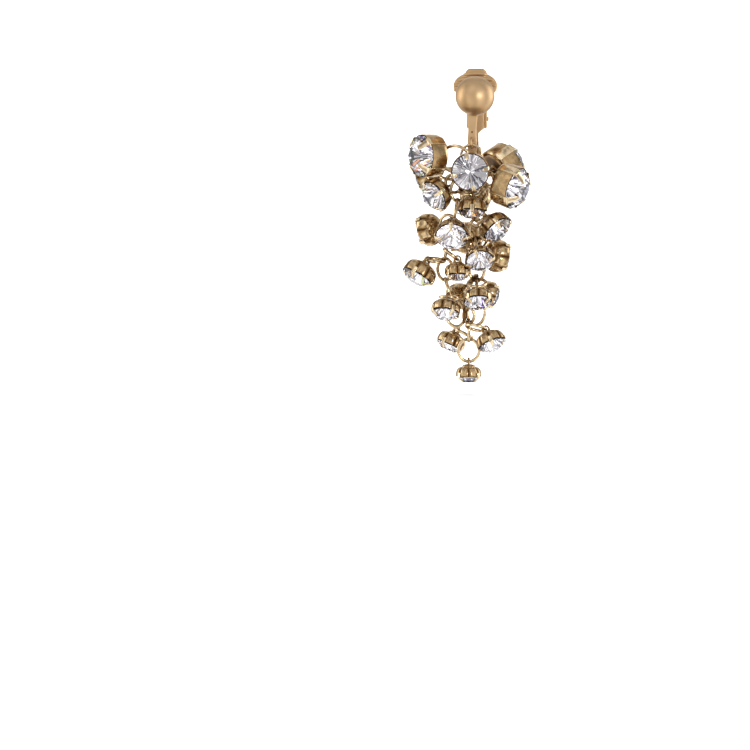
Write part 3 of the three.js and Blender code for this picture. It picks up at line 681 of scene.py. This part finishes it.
STONES = {
    # name: (size, across, depth, down, turn, pitch, spin)
    "top_left": (LARGE, -1.0, -0.3, 0.003, -55, 0, 45),
    "top_centre": (FRONT, -0.02, -0.72, 0.072, 0, -3, 12),
    "top_right": (LARGE, 0.91, -0.4, 0.146, 62, -17, 35),
    "top_back_right": (LARGE, 0.78, 0.63, 0.027, 120, 30, 45),
    "top_back_left": (MEDIUM, -0.95, 0.5, 0.106, -120, -20, 45),
    "second_left": (MEDIUM, -0.76, -0.45, 0.181, -50, -27, 20),
    "second_centre": (SMALL, 0.02, -0.44, 0.25, 0, -76, 90),
    "second_back": (MEDIUM, 0.1, 0.68, 0.19, 175, -30, 45),
    "third_right": (MEDIUM, 0.53, -0.35, 0.332, 53, -41, 45),
    "third_left": (MEDIUM, -0.38, -0.6, 0.359, -5, -35, 90),
    "third_back_left": (MEDIUM, -0.92, 0.38, 0.341, -125, -14, 45),
    "third_back": (MEDIUM, -0.1, 0.65, 0.383, -170, -25, 45),
    "fourth_right": (SMALL, 0.18, -0.5, 0.468, 5, -40, 20),
    "fourth_back_right": (MEDIUM, 0.6, 0.35, 0.457, 125, -10, 45),
    "fourth_left": (MEDIUM, -1.07, -0.2, 0.541, -63, -56, 45),
    "fourth_centre": (TIP, -0.27, -0.24, 0.534, 0, -80, 45),
    "fifth_left": (SMALL, -0.51, -0.5, 0.699, -15, -65, 45),
    "fifth_right": (SMALL, 0.14, -0.52, 0.65, 5, -60, 45),
    "fifth_back_right": (SMALL, 0.42, 0.55, 0.639, 110, -20, 45),
    "fifth_back_left": (SMALL, -0.25, 0.6, 0.65, -150, -40, 45),
    "sixth_left": (SMALL, -0.43, 0.32, 0.857, -75, -65, 45),
    "sixth_right": (SMALL, 0.43, -0.36, 0.841, 45, -58, 45),
    "tip": (TIP, -0.04, 0, 0.996, 0, -86, 45),
}

STRANDS = {
    # where the links meet: across and depth as shares of the reach, down as a share of the length
    "left": [(-0.24, 0, 0.111), (-0.28, 0, 0.2), (-0.34, 0, 0.289), (-0.46, 0.06, 0.378),
             (-0.53, 0.12, 0.467), (-0.51, 0.12, 0.556), (-0.4, 0.06, 0.644), (-0.26, -0.04, 0.76)],
    "right": [(0.17, 0.04, 0.113), (0.18, 0.1, 0.202), (0.11, 0.1, 0.291), (0.09, 0.09, 0.38),
              (0.11, 0.11, 0.469), (0.12, 0.07, 0.558), (0.12, 0.03, 0.649), (0.09, 0.04, 0.756)],
    "tail": [(-0.04, 0, 0.687), (-0.04, 0, 0.747), (-0.04, 0, 0.827)],
}


def unit(v):
    return v / np.linalg.norm(v)


def cluster_point(across, depth, down):
    """A place in the cluster, in mm from the middle of the drop ring."""
    return np.array([across * CLUSTER_REACH, depth * CLUSTER_REACH, -down * CLUSTER_LENGTH])


def stone_frame(stone):
    """A stone's right, up and outward directions and its middle, in the cluster's frame."""
    _, across, depth, down, turn, pitch, _ = STONES[stone]
    t, p = math.radians(turn), math.radians(pitch)
    out = np.array([math.sin(t) * math.cos(p), -math.cos(t) * math.cos(p), math.sin(p)])
    right = np.array([math.cos(t), math.sin(t), 0.0])
    return right, np.cross(out, right), out, cluster_point(across, depth, down)


TO_CLIP = Matrix.Translation(RING_MIDDLE) @ Matrix.Rotation(CLUSTER_TURN, 4, "Z")
print("stones:", len(STONES))

# %% [markdown]
# ## Links and jump rings
# Two strands of oval links hang from the drop ring and meet in a short tail, and each cup's lug
# hangs from a link by one jump ring. The links follow from the list of meeting places. A jump
# ring's place is searched the way a bench worker finds it: of all the spots on all the links, take
# the one that needs a ring nearest the usual span, hangs down, and keeps clear of the other cups.

# %% Link places
def strand_links(points, starts_flat):
    """Middle, axis, direction and radius of each link between meeting places, every second one
    turned a quarter."""
    links = []
    for i, (a, b) in enumerate(zip(points, points[1:])):
        along = unit(b - a)
        across = unit(np.cross(along, (0, 1, 0)))
        flat = (i % 2 == 0) == starts_flat
        links.append(((a + b) / 2, np.array([0.0, 1.0, 0.0]) if flat else across, along,
                      np.linalg.norm(b - a) / 2 + (WIRE - WIRE_BITE) / 2))
    return links


def strand_start(first):
    """Where a strand's first link takes hold inside the drop ring."""
    flat = unit(np.array([first[0], 0.0, first[2]]))
    return flat * (DROP_RING_RADIUS - 2.5 * GAP - (WIRE + WIRE_BITE) / 2)


routes = {name: [cluster_point(*p) for p in points] for name, points in STRANDS.items()}
links = [link for side in ("left", "right")
         for link in strand_links([strand_start(routes[side][0])] + routes[side], False)]
links += strand_links(routes["tail"], True)

# %% [markdown]
# A cup's depth, its lug and its hole all follow from the stone's size.

# %% Cup sizes and the search for a jump ring's place
JUMP_SPAN = 3.9
LINK_CORNERS, LOOP_STEPS = 12, 24
CUP_WALL = 0.3
RIM_DROP = 0.25
CROWN_SHARE = 0.19
LUG_HOLE, LUG_WALL, LUG_THICKNESS = 0.5, 0.35, 0.45


def cup_base(size):
    """The cup's depth from the girdle to its back."""
    return RIM_DROP + size * 0.46


def hole_depth(size):
    """The depth of the lug's hole."""
    return cup_base(size) + LUG_WALL + LUG_HOLE


frames = {stone: stone_frame(stone) for stone in STONES}
sizes = np.array([STONES[s][0] for s in STONES])
outs = np.array([frames[s][2] for s in STONES])
centres = np.array([frames[s][3] for s in STONES])


def cuts_into(stone, middle, right, up, radius):
    """How deep a wire loop would cut into the drop ring and the cups."""
    angles = np.arange(LOOP_STEPS) * 2 * math.pi / LOOP_STEPS
    loop = middle + radius * (np.outer(np.cos(angles), right) + np.outer(np.sin(angles), up))
    cos, sin = math.cos(CLUSTER_TURN), math.sin(CLUSTER_TURN)
    x, y, z = loop[:, 0] * cos - loop[:, 1] * sin, loop[:, 0] * sin + loop[:, 1] * cos, loop[:, 2]
    to_ring = np.hypot(np.hypot(x, z) - DROP_RING_RADIUS, y)
    depth = np.maximum(0, WIRE + GAP - to_ring).sum()
    inside = loop[:, None, :] - centres[None]
    height = (inside * outs[None]).sum(2)
    side = np.sqrt(np.maximum(0, (inside ** 2).sum(2) - height ** 2))
    backs = np.array([cup_base(s) if name == stone else hole_depth(s) for name, s in zip(STONES, sizes)])
    room = np.minimum(sizes / 2 + GAP + CUP_WALL - side, backs + height)
    room = np.minimum(room, sizes * CROWN_SHARE - height)
    return depth + np.maximum(0, room + WIRE / 2 + GAP).sum()


def span(point, hole):
    """Middle, radius and direction of a jump ring from a spot on a link to a lug's hole."""
    reach = unit(hole - point)
    far = point + reach * (WIRE_BITE - WIRE)
    return (far + hole) / 2, np.linalg.norm(far - hole) / 2, reach


def hook_for(stone):
    """Middle, radius, direction and hole axis of the best jump ring for a stone. The search takes
    links as round, and the chosen ring is then drawn up to the oval link."""
    _, _, out, centre = frames[stone]
    hole = centre - out * hole_depth(STONES[stone][0])
    best = None
    for link_centre, axis, along, link_radius in links:
        side = unit(np.cross(axis, along))
        for step in range(LINK_CORNERS):
            angle = 2 * math.pi * step / LINK_CORNERS
            ahead, aside = along * math.cos(angle), side * math.sin(angle)
            radial = ahead + aside
            middle, radius, reach = span(link_centre + radial * link_radius, hole)
            wire = np.cross(axis, radial)
            through = np.cross(out, reach)
            if np.linalg.norm(through) < 0.2:
                through = np.cross(wire, reach)
            through = unit(through)
            cost = (abs(2 * radius - JUMP_SPAN) + abs(wire @ through) + max(0, reach[2])
                    + max(0, -(radial @ reach)) + 2 * cuts_into(stone, middle, reach, through, radius))
            if best is None or cost < best[0]:
                best = (cost, link_centre + link_radius * (ahead + LINK_WAIST * aside), through)
    middle, radius, reach = span(best[1], hole)
    return middle, radius, reach, unit(best[2] - reach * (best[2] @ reach))


hooks = {stone: hook_for(stone) for stone in STONES}
print("jump ring radii in mm:", [round(float(h[1]), 1) for h in hooks.values()])

# %% [markdown]
# All the rings share one wire, so a Geometry Nodes tree draws them: a point stands for each ring
# and carries its radius, axis, long direction and waist as attributes. A circle curve is placed on
# it, drawn in to an oval by the waist, and swept with the wire's round section. Sweeping after
# placing keeps the wire the same thickness on small and large rings, which scaled copies would not.

# %% Ring tree
def ring_tree():
    tree, given, keys = tree_with("wire rings", {
        "Wire": "NodeSocketFloat", "Sides": "NodeSocketInt", "Round": "NodeSocketInt",
        "Material": "NodeSocketMaterial",
    })
    inp = given.outputs
    axis, along, radius, waist = (
        add(tree, "GeometryNodeInputNamedAttribute", {"Name": name}, data_type=kind).outputs["Attribute"]
        for name, kind in (("ring_axis", "FLOAT_VECTOR"), ("ring_along", "FLOAT_VECTOR"),
                           ("ring_radius", "FLOAT"), ("ring_waist", "FLOAT")))
    upright = add(tree, "FunctionNodeAlignRotationToVector", {"Vector": axis}, axis="Z").outputs[0]
    turn = add(tree, "FunctionNodeAlignRotationToVector", {"Vector": along, "Rotation": upright},
               axis="X", pivot_axis="Z").outputs[0]
    narrow = calc(tree, "MULTIPLY", radius, waist)
    size = add(tree, "ShaderNodeCombineXYZ", {"X": radius, "Y": narrow, "Z": radius}).outputs[0]
    circle = add(tree, "GeometryNodeCurvePrimitiveCircle", {"Resolution": inp["Sides"], "Radius": 1.0})
    hoops = add(tree, "GeometryNodeInstanceOnPoints", {
        "Points": inp["Geometry"], "Instance": circle.outputs["Curve"], "Rotation": turn, "Scale": size,
    })
    real = add(tree, "GeometryNodeRealizeInstances", {0: hoops.outputs[0]}).outputs[0]
    half = calc(tree, "MULTIPLY", inp["Wire"], 0.5)
    section = add(tree, "GeometryNodeCurvePrimitiveCircle", {"Resolution": inp["Round"], "Radius": half})
    swept = add(tree, "GeometryNodeCurveToMesh", {"Curve": real, "Profile Curve": section.outputs["Curve"]})
    made = add(tree, "GeometryNodeSetMaterial", {"Geometry": swept.outputs[0], "Material": inp["Material"]})
    add(tree, "NodeGroupOutput", {"Geometry": made.outputs[0]})
    return tree, keys


def ring_seeds(name, rings, place):
    """A point for each ring, with its directions, radius and waist, in metres."""
    mesh = bpy.data.meshes.new(name)
    turn = place.to_3x3()
    mesh.from_pydata([tuple(place @ Vector(ring[0]) * MM) for ring in rings], [], [])
    for label, column in (("ring_axis", 1), ("ring_along", 2)):
        flat = [c for ring in rings for c in turn @ Vector(ring[column])]
        mesh.attributes.new(label, "FLOAT_VECTOR", "POINT").data.foreach_set("vector", flat)
    mesh.attributes.new("ring_radius", "FLOAT", "POINT").data.foreach_set("value", [r[3] * MM for r in rings])
    mesh.attributes.new("ring_waist", "FLOAT", "POINT").data.foreach_set("value", [r[4] for r in rings])
    return mesh


def outward(mesh):
    """Turns a mesh's faces out where its volume comes out negative."""
    work = bmesh.new()
    work.from_mesh(mesh)
    if work.calc_volume(signed=True) < 0:
        bmesh.ops.reverse_faces(work, faces=work.faces)
    work.to_mesh(mesh)
    work.free()
    return mesh


RINGS = ring_tree()


# %% [markdown]
# Where wires cross, patina stays and shade falls, and both are painted in. For each point of a ring
# mesh, the distance to the nearest middle line of another ring says how dark it is painted.

# %% Patina and painted shade on the rings
def paint_ring_patina_and_shade(mesh, rings, place, wire):
    """Writes the patina and painted shade of a ring mesh."""
    turn = np.array(place.to_3x3())
    shift = np.array(place.translation)
    co = np.empty(len(mesh.vertices) * 3)
    mesh.vertices.foreach_get("co", co)
    co = co.reshape(-1, 3) / MM
    gaps = []
    for centre, axis, along, radius, waist in rings:
        away = co - (turn @ np.array(centre) + shift)
        axis, along = turn @ np.array(axis), turn @ np.array(along)
        side = np.hypot(away @ along, away @ np.cross(axis, along) / waist)
        gaps.append(np.hypot(side - radius, away @ axis))
    gaps = np.sort(np.array(gaps), axis=0)
    near = gaps[1] if len(rings) > 1 else np.full(len(co), 9.0)
    patina_and_painted_shade = mesh.attributes.new("patina_and_painted_shade", "FLOAT", "POINT")
    # Darker near another ring's wire: patina and painted shade where wires cross.
    patina_and_painted_shade.data.foreach_set("value", np.clip(1.0 - (near - wire / 2) / 0.45, 0, 1) * 0.9 + 0.12)


def make_rings(name, rings, place, wire):
    mesh = grown(name, ring_seeds(name, rings, place), *RINGS, {
        "Wire": wire * MM, "Sides": 40, "Round": 12, "Material": ANTIQUE_GOLD,
    })
    paint_ring_patina_and_shade(outward(mesh), rings, place, wire)
    return mesh


cluster_rings = [(centre, axis, along, radius, LINK_WAIST) for centre, axis, along, radius in links]
cluster_rings += [(middle, unit(np.cross(reach, through)), reach, radius, JUMP_RING_WAIST)
                  for middle, radius, reach, through in hooks.values()]
chain = make_rings("links_and_jump_rings", cluster_rings, TO_CLIP, ROUND_WIRE)
make_piece("links_and_jump_rings", chain, "cluster", "antique_gold_plate", "chain_links")

drop_ring = [((0, 0, 0), (0, 1, 0), (1, 0, 0), DROP_RING_RADIUS, 1.0)]
hoop = make_rings("drop_hoop", drop_ring, Matrix.Translation(RING_MIDDLE), WIRE)
make_piece("drop_hoop", hoop, "ring", "antique_gold_plate", "drop_ring")

# %% [markdown]
# ## Cups
# The three largest stones and the front one sit in plain deep cups with straight walls. The smaller
# cups are pressed into eight arches, like a small pumpkin: the wall swells between narrow creases,
# each crease ends in a post at the rim, and the rim dips between the posts. A shallow dent in the
# middle of each arch catches the light as a streak. The cup is a turned form whose radius and rim
# height change with the angle, so it stays one closed shell.

# %% Cup form
CUP_STEPS = 16     # from the middle of the back out and up to the rim


def rising(step, start, length):
    """0 up to a step of the profile, then rising to 1 over a number of steps."""
    return float(np.clip((step - start) / length, 0, 1))


def make_cup(size, spin):
    """A cup's points and faces, and how much patina and painted shade each point gets."""
    plain = size >= FRONT
    outer = size / 2 + (0.24 if plain else 0.36)
    inner = size / 2 + 0.05
    deep = cup_base(size) - RIM_DROP
    squareness = 9.0 if plain else 3.1
    profile = [(outer * math.sin(a) ** (2 / squareness), -RIM_DROP - deep * math.cos(a) ** (2 / squareness))
               for a in np.linspace(0, math.pi / 2, CUP_STEPS + 1)]
    profile[0] = (0.0, -cup_base(size))
    profile += [(outer - 0.03, -RIM_DROP + 0.1), (inner + 0.06, -RIM_DROP + 0.12), (inner, -RIM_DROP + 0.04)]
    profile += [(inner - 0.05, -RIM_DROP - 0.4), (inner * 0.5, -size * 0.3), (0.0, -size * 0.45 - 0.12)]
    crease_depth, dent_depth, rim_dip = (0.0, 0.0, 0.0) if plain else (0.09, 0.03, 0.16)
    outside = range(CUP_STEPS + 1)
    strengths = [rising(i, 5, 6) for i in outside] + [0.9, 0.3, 0.3, 0.2, 0.0, 0.0]
    dips = [rising(i, 12, 5) for i in outside] + [1.0, 1.0, 1.0, 0.5, 0.0, 0.0]
    patina_and_painted_shade = []

    def shape(angle, step, radius, height):
        swell = abs(math.sin(4 * (angle - math.radians(spin))))
        crease = (1 - swell ** 0.7) * strengths[step]
        dent = max(0.0, swell - 0.8) / 0.2 * strengths[step]
        lift = dips[step] * rim_dip * swell ** 1.5
        patina_and_shade_amount = 0.22 if plain else 0.95 * crease + 0.2 * dent
        # Outside, the band under the rim and the back round the lug get more. Inside, under the stone, nearly
        # all of it. This is the patina kept there and painted shade.
        if step <= CUP_STEPS + 1:
            patina_and_shade_amount += 0.1 * rising(step, 14, 3) + 0.6 * (1 - rising(step, 0, 5))
        else:
            patina_and_shade_amount += 0.9
        patina_and_painted_shade.append(min(1.0, 0.06 + patina_and_shade_amount))
        return radius * (1 - crease_depth * crease - dent_depth * dent), height - lift

    return turned(profile, 128, shape), patina_and_painted_shade


# %% [markdown]
# ## Claws
# A claw stands up past the girdle and is pressed down over the crown. On the large cups it is a
# broad strip that runs up the whole wall and narrows over the stone. On the others it is a small
# tongue cut from the rim. One claw is drawn as a bent strip in the stone's own frame, and a
# Geometry Nodes tree sets four of them round the stone, starting at the spin angle.

# %% One claw and its ring of four
CLAW_THICKNESS = 0.2


def make_claw(size):
    large, front, small = size >= LARGE, FRONT <= size < LARGE, size < FRONT
    wall = size / 2 + (0.22 * large + 0.26 * front + 0.34 * small)
    full = 1.9 * large + 0.8 * front + size * 0.125 * small
    end = 1.1 * large + 0.6 * front + size * 0.07 * small
    reach = size * (0.27 * large + 0.37 * front + 0.345 * small)
    girdle, table = size / 2, size * 0.28
    slope = size * CROWN_SHARE / (girdle - table)
    base = cup_base(size)
    path = [(wall * 0.88, 0.16 - base), (wall * 0.96, 0.38 - base), (wall, 0.8 - base)] if large else []
    path += [(wall, -1.0), (wall, -0.45), (wall + 0.02, -0.1), (wall - 0.04, 0.16), (girdle + 0.04, 0.36)]
    straight = len(path)
    path += [(r, 0.23 + (girdle - r) * slope) for r in np.linspace(girdle - 0.14, reach, 8)]
    narrowing = 0.3 if large else 0.8
    widths = [full] * straight + [full + (end - full) * (k / 8) ** narrowing for k in range(1, 9)]
    widths[-1] *= 0.6
    widths[-2] *= 0.9
    thicknesses = [CLAW_THICKNESS] * (len(path) - 1) + [CLAW_THICKNESS * 0.6]
    return bent_strip([(x, 0, z) for x, z in path], (0, 1, 0), widths, thicknesses, 0.08)


def claw_tree():
    tree, given, keys = tree_with("claws round a stone", {
        "Claws": "NodeSocketInt", "Spin": "NodeSocketFloat", "Material": "NodeSocketMaterial",
    })
    inp = given.outputs
    row = add(tree, "GeometryNodeMeshLine", {"Count": inp["Claws"], "Offset": (0.0, 0.0, 0.0)})
    index = add(tree, "GeometryNodeInputIndex").outputs[0]
    step = calc(tree, "DIVIDE", 2 * math.pi, inp["Claws"])
    angle = calc(tree, "MULTIPLY_ADD", index, step, inp["Spin"])
    turn = add(tree, "ShaderNodeCombineXYZ", {"Z": angle}).outputs[0]
    rotation = add(tree, "FunctionNodeEulerToRotation", {0: turn}).outputs[0]
    round_stone = add(tree, "GeometryNodeInstanceOnPoints",
                      {"Points": row.outputs[0], "Instance": inp["Geometry"], "Rotation": rotation})
    real = add(tree, "GeometryNodeRealizeInstances", {0: round_stone.outputs[0]}).outputs[0]
    made = add(tree, "GeometryNodeSetMaterial", {"Geometry": real, "Material": inp["Material"]}).outputs[0]
    add(tree, "NodeGroupOutput", {"Geometry": made})
    return tree, keys


CLAWS = claw_tree()


def four_claws(size, spin):
    values = {"Claws": 4, "Spin": math.radians(spin), "Material": ANTIQUE_GOLD}
    return form_of(grown("claws", clean_mesh("claw", make_claw(size)), *CLAWS, values), MM)


# %% [markdown]
# Behind each cup a small pierced lug takes the jump ring. It is sawn from plate: a round end with
# a hole, widening to a foot that is soldered to the cup's back, where the solder runs out to a low
# collar. Its face lies square to the wire that passes through it.

# %% Lug
def make_lug(size, through):
    """A lug under a cup, its hole's axis along a direction in the stone's frame."""
    drop, base = -hole_depth(size), -cup_base(size)
    outline = [(1.1, base + 0.3), (-1.1, base + 0.3), (-0.86, drop + 0.35)]
    outline += arc(0, drop, LUG_HOLE + LUG_WALL, 180, 360, 18) + [(0.86, drop + 0.35)]
    blank = plate([outline, arc(0, drop, LUG_HOLE, 0, 345, 23)], LUG_THICKNESS, 0.12)
    side = np.cross((0, 0, 1), through)
    solder = [(0.0, 0.3), (1.35, 0.3), (1.3, -0.05), (1.0, -0.24), (0.6, -0.32), (0.0, -0.33)]
    collar = turned([(radius, base + rise) for radius, rise in solder], 32)
    return together(moved(blank, facing_frame(side, (0, 0, 1), through, (0, 0, 0))), collar)


# %% [markdown]
# Cup, claws and lug are soldered, so each setting is one object, carried to its place in the mesh.

# %% Settings
def make_setting(stone):
    size, *_, spin = STONES[stone]
    through = np.array(frames[stone][:3]) @ hooks[stone][3]
    through = unit(np.array([through[0], through[1], 0.0]))
    cup, patina_and_painted_shade = make_cup(size, spin)
    claws = four_claws(size, spin)
    lug = make_lug(size, through)
    # Claws are wiped nearly bright. The lug behind the cup gets patina and painted shade.
    patina_and_painted_shade += [0.03] * len(claws[0]) + [0.45] * len(lug[0])
    form = moved(together(cup, claws, lug), TO_CLIP @ facing_frame(*frames[stone]))
    mesh = clean_mesh(f"setting_of_{stone}", form, merged=False)
    mesh.attributes.new("patina_and_painted_shade", "FLOAT", "POINT").data.foreach_set("value", patina_and_painted_shade)
    return dress(mesh, ANTIQUE_GOLD)


for stone in STONES:
    make_piece(f"cup_{stone}", make_setting(stone), "cluster", "antique_gold_plate", f"setting_{stone}")

# %% [markdown]
# ## Stones
# The cut is the trade's round stone for settings: a flat octagonal table, eight kites and sixteen
# small triangles round it, a thin girdle, and a cone of narrow facets down to a point, which gives
# the starburst seen through the table. Facets are flat, so nothing is shaded smooth.

# %% Cut stones
GIRDLE = 0.08


def make_stone_form(size):
    """A stone's points, its faces, and which of them carry foil."""
    half, crown = size / 2, size * CROWN_SHARE

    def corner(share, step, height):
        angle = step * math.pi / 8
        return half * share * math.cos(angle), half * share * math.sin(angle), height

    points = [corner(0.56, s, GIRDLE + crown) for s in range(0, 16, 2)]
    points += [corner(0.8, s, GIRDLE + crown / 2) for s in range(1, 16, 2)]
    points += [corner(1, s, GIRDLE) for s in range(16)]
    points += [corner(1, s / 2, -GIRDLE) for s in range(32)]
    points += [(0, 0, -GIRDLE - size * 0.45)]
    table, kite, upper, lower, culet = 0, 8, 16, 32, 64
    faces = [tuple(range(8))]
    for k in range(8):
        after, step, turn = (k + 1) % 8, 2 * k, (2 * k + 2) % 16
        faces += [(table + k, kite + k, table + after),
                  (table + after, kite + k, upper + turn), (table + after, upper + turn, kite + after),
                  (kite + k, upper + step, upper + step + 1), (kite + k, upper + step + 1, upper + turn)]
    for s in range(16):
        below = [lower + (2 * s + k) % 32 for k in range(3)]
        faces.append((upper + s, *below, upper + (s + 1) % 16))
    clear = len(faces)
    faces += [(lower + s, culet, lower + (s + 1) % 32) for s in range(32)]
    return points, faces, [0] * clear + [1] * 32


# %% [markdown]
# The painted tints of the cone are drawn with a fixed seed. Most are the foil's white, a few are greys of
# painted dark reflection, and a few are coloured glints of painted fire.

# %% Painted facet tints and stones
# The foil's whites and two greys that paint dark reflections. Below them, colours that paint glints of fire.
SILVER_AND_PAINTED_DARK_GREYS = ["#FFFFFF", "#FFFDFC", "#FFFFFF", "#F1EEEE", "#FFFFFF", "#FFFDFC", "#B9B7BD", "#74737F"]
PAINTED_FIRE_GLINTS = ["#9FA6F5", "#B49AFF", "#FFB27A", "#9ADDF5", "#DDE88A"]
chance = np.random.default_rng(7)


def make_stone(stone):
    points, faces, foil = make_stone_form(STONES[stone][0])
    form = moved((points, faces), TO_CLIP @ facing_frame(*frames[stone]))
    mesh = clean_mesh(f"stone_{stone}", form, merged=False)
    mesh.materials.append(CROWN_GLASS)
    mesh.materials.append(FOIL)
    mesh.polygons.foreach_set("material_index", foil)
    foil_with_painted_light = mesh.attributes.new("foil_with_painted_light", "FLOAT_COLOR", "FACE")
    for i in range(len(faces)):
        # Each facet gets the foil's white, a grey of painted dark reflection, or a painted glint of fire.
        pool = PAINTED_FIRE_GLINTS if chance.random() < 0.04 else SILVER_AND_PAINTED_DARK_GREYS
        foil_with_painted_light.data[i].color = linear(pool[chance.integers(len(pool))])
    return mesh


for stone in STONES:
    make_piece(f"stone_{stone}", make_stone(stone), "cluster", "foil_backed_crystal", f"crystal_{stone}",
               smooth=False)

# %% [markdown]
# ## Studio
# The earring hangs over a plain white sweep: a floor that curves up into a wall, so no horizon
# shows. The sweep has its own light overhead, and neither shows in the metal, as if black cards hid
# them, so wires and cups keep their edges against the white.

# %% White sweep
SWEEP_HALF, SWEEP_FRONT, SWEEP_BACK, SWEEP_RISE = 1500, -900, 900, 1600


def make_sweep():
    floor, bend = (cad_low.z - 0.002) / MM, 400
    line = [(SWEEP_FRONT, floor)] + arc(SWEEP_BACK - bend, floor + bend, bend, 270, 360, 12)
    line += [(SWEEP_BACK, floor + SWEEP_RISE)]
    points = [(x, y, z) for y, z in line for x in (-SWEEP_HALF, SWEEP_HALF)]
    faces = [(2 * i, 2 * i + 1, 2 * i + 3, 2 * i + 2) for i in range(len(line) - 1)]
    mesh = mesh_in_metres("white_sweep", points, faces)
    mesh.shade_smooth()
    material, tree, shader, place = new_material("Matt white paper")
    fibres = noise(tree, place, 60.0, 4.0)
    feed(tree, shader, {
        "Base Color": ramp(tree, fibres, [(0.3, "#F6F6F5"), (0.7, "#FCFCFB")]), "Roughness": 0.9,
    })
    sweep = in_scene("white_sweep", dress(mesh, material))
    sweep.visible_glossy = False
    sweep.visible_transmission = False


make_sweep()

# %% [markdown]
# Tall white cards stand round the object with gaps between them, so that polished metal and cut
# glass mirror light and dark by turns. One gap is where the photographer stands. The room is darker
# overhead and pale below. A softbox stands at each side, and one small lamp a little right of the
# camera gives the round spot on the ball.

# %% Room and lights
def make_room():
    world = bpy.data.worlds.new("Soft white room")
    bpy.context.scene.world = world
    world.use_nodes = True
    tree = world.node_tree
    tree.nodes.clear()
    direction = add(tree, "ShaderNodeTexCoord").outputs["Generated"]
    x, y, z = add(tree, "ShaderNodeSeparateXYZ", {0: direction}).outputs
    around = calc(tree, "MULTIPLY_ADD", calc(tree, "ARCTAN2", x, y), 5.0, math.radians(50))
    cards = spread(tree, calc(tree, "COSINE", around), 0.5, 1.45, -0.85, -0.2)
    strength = calc(tree, "MULTIPLY", cards, spread(tree, z, 1.1, 0.65, -0.6, 0.8))
    shade = add(tree, "ShaderNodeBackground", {"Color": linear("#FFFFFF"), "Strength": strength})
    add(tree, "ShaderNodeOutputWorld", {"Surface": shade.outputs[0]})


def soft_light(name, place, aim, width, height, power, mirrored=True):
    lamp = bpy.data.lights.new(name, "AREA")
    lamp.shape = "RECTANGLE"
    lamp.size, lamp.size_y = width * MM, height * MM
    lamp.energy = power
    obj = in_scene(name, lamp)
    obj.location = Vector(place) * MM
    obj.rotation_mode = "QUATERNION"
    obj.rotation_quaternion = (Vector(aim) - Vector(place)).to_track_quat("-Z", "Y")
    obj.visible_glossy = mirrored


make_room()
MIDDLE = (0, -4, -28)
soft_light("left softbox", (-480, -60, 60), MIDDLE, 260, 380, 0.7)
soft_light("right softbox", (440, 220, 60), MIDDLE, 260, 380, 0.7)
soft_light("front lamp", (330, -500, 30), MIDDLE, 110, 110, 1.0)
soft_light("top softbox", (-60, -380, 420), MIDDLE, 320, 260, 0.2)
soft_light("sweep light", (0, 250, 900), (0, 400, -60), 900, 700, 16.0, mirrored=False)

# %% [markdown]
# ## Camera
# The photograph is 750 pixels wide and shows 150 mm, from about 600 mm away, a little to the
# right and above. The ball's middle lies 20 mm right of the picture's middle and 55.8 mm above it,
# so the camera's aim is worked back from the ball.

# %% Camera
CAMERA_TURN, CAMERA_RISE = math.radians(10), math.radians(5.5)
CAMERA_DISTANCE, PICTURE_WIDTH, FILM_WIDTH = 600, 150, 36
BALL_RIGHT, BALL_UP = 20.0, 55.8


def make_camera():
    turn, rise = CAMERA_TURN, CAMERA_RISE
    back = Vector((math.sin(turn) * math.cos(rise), -math.cos(turn) * math.cos(rise), math.sin(rise)))
    right = Vector((math.cos(turn), math.sin(turn), 0))
    up = back.cross(right)
    aim = BALL - right * BALL_RIGHT - up * BALL_UP
    data = bpy.data.cameras.new("camera")
    data.sensor_width = FILM_WIDTH
    data.lens = FILM_WIDTH * CAMERA_DISTANCE / PICTURE_WIDTH
    data.clip_start, data.clip_end = 0.01, 20
    camera = in_scene("camera", data)
    camera.location = (aim + back * CAMERA_DISTANCE) * MM
    camera.rotation_mode = "QUATERNION"
    camera.rotation_quaternion = back.to_track_quat("Z", "Y")
    bpy.context.scene.camera = camera


make_camera()
bpy.context.scene.view_settings.view_transform = "Standard"
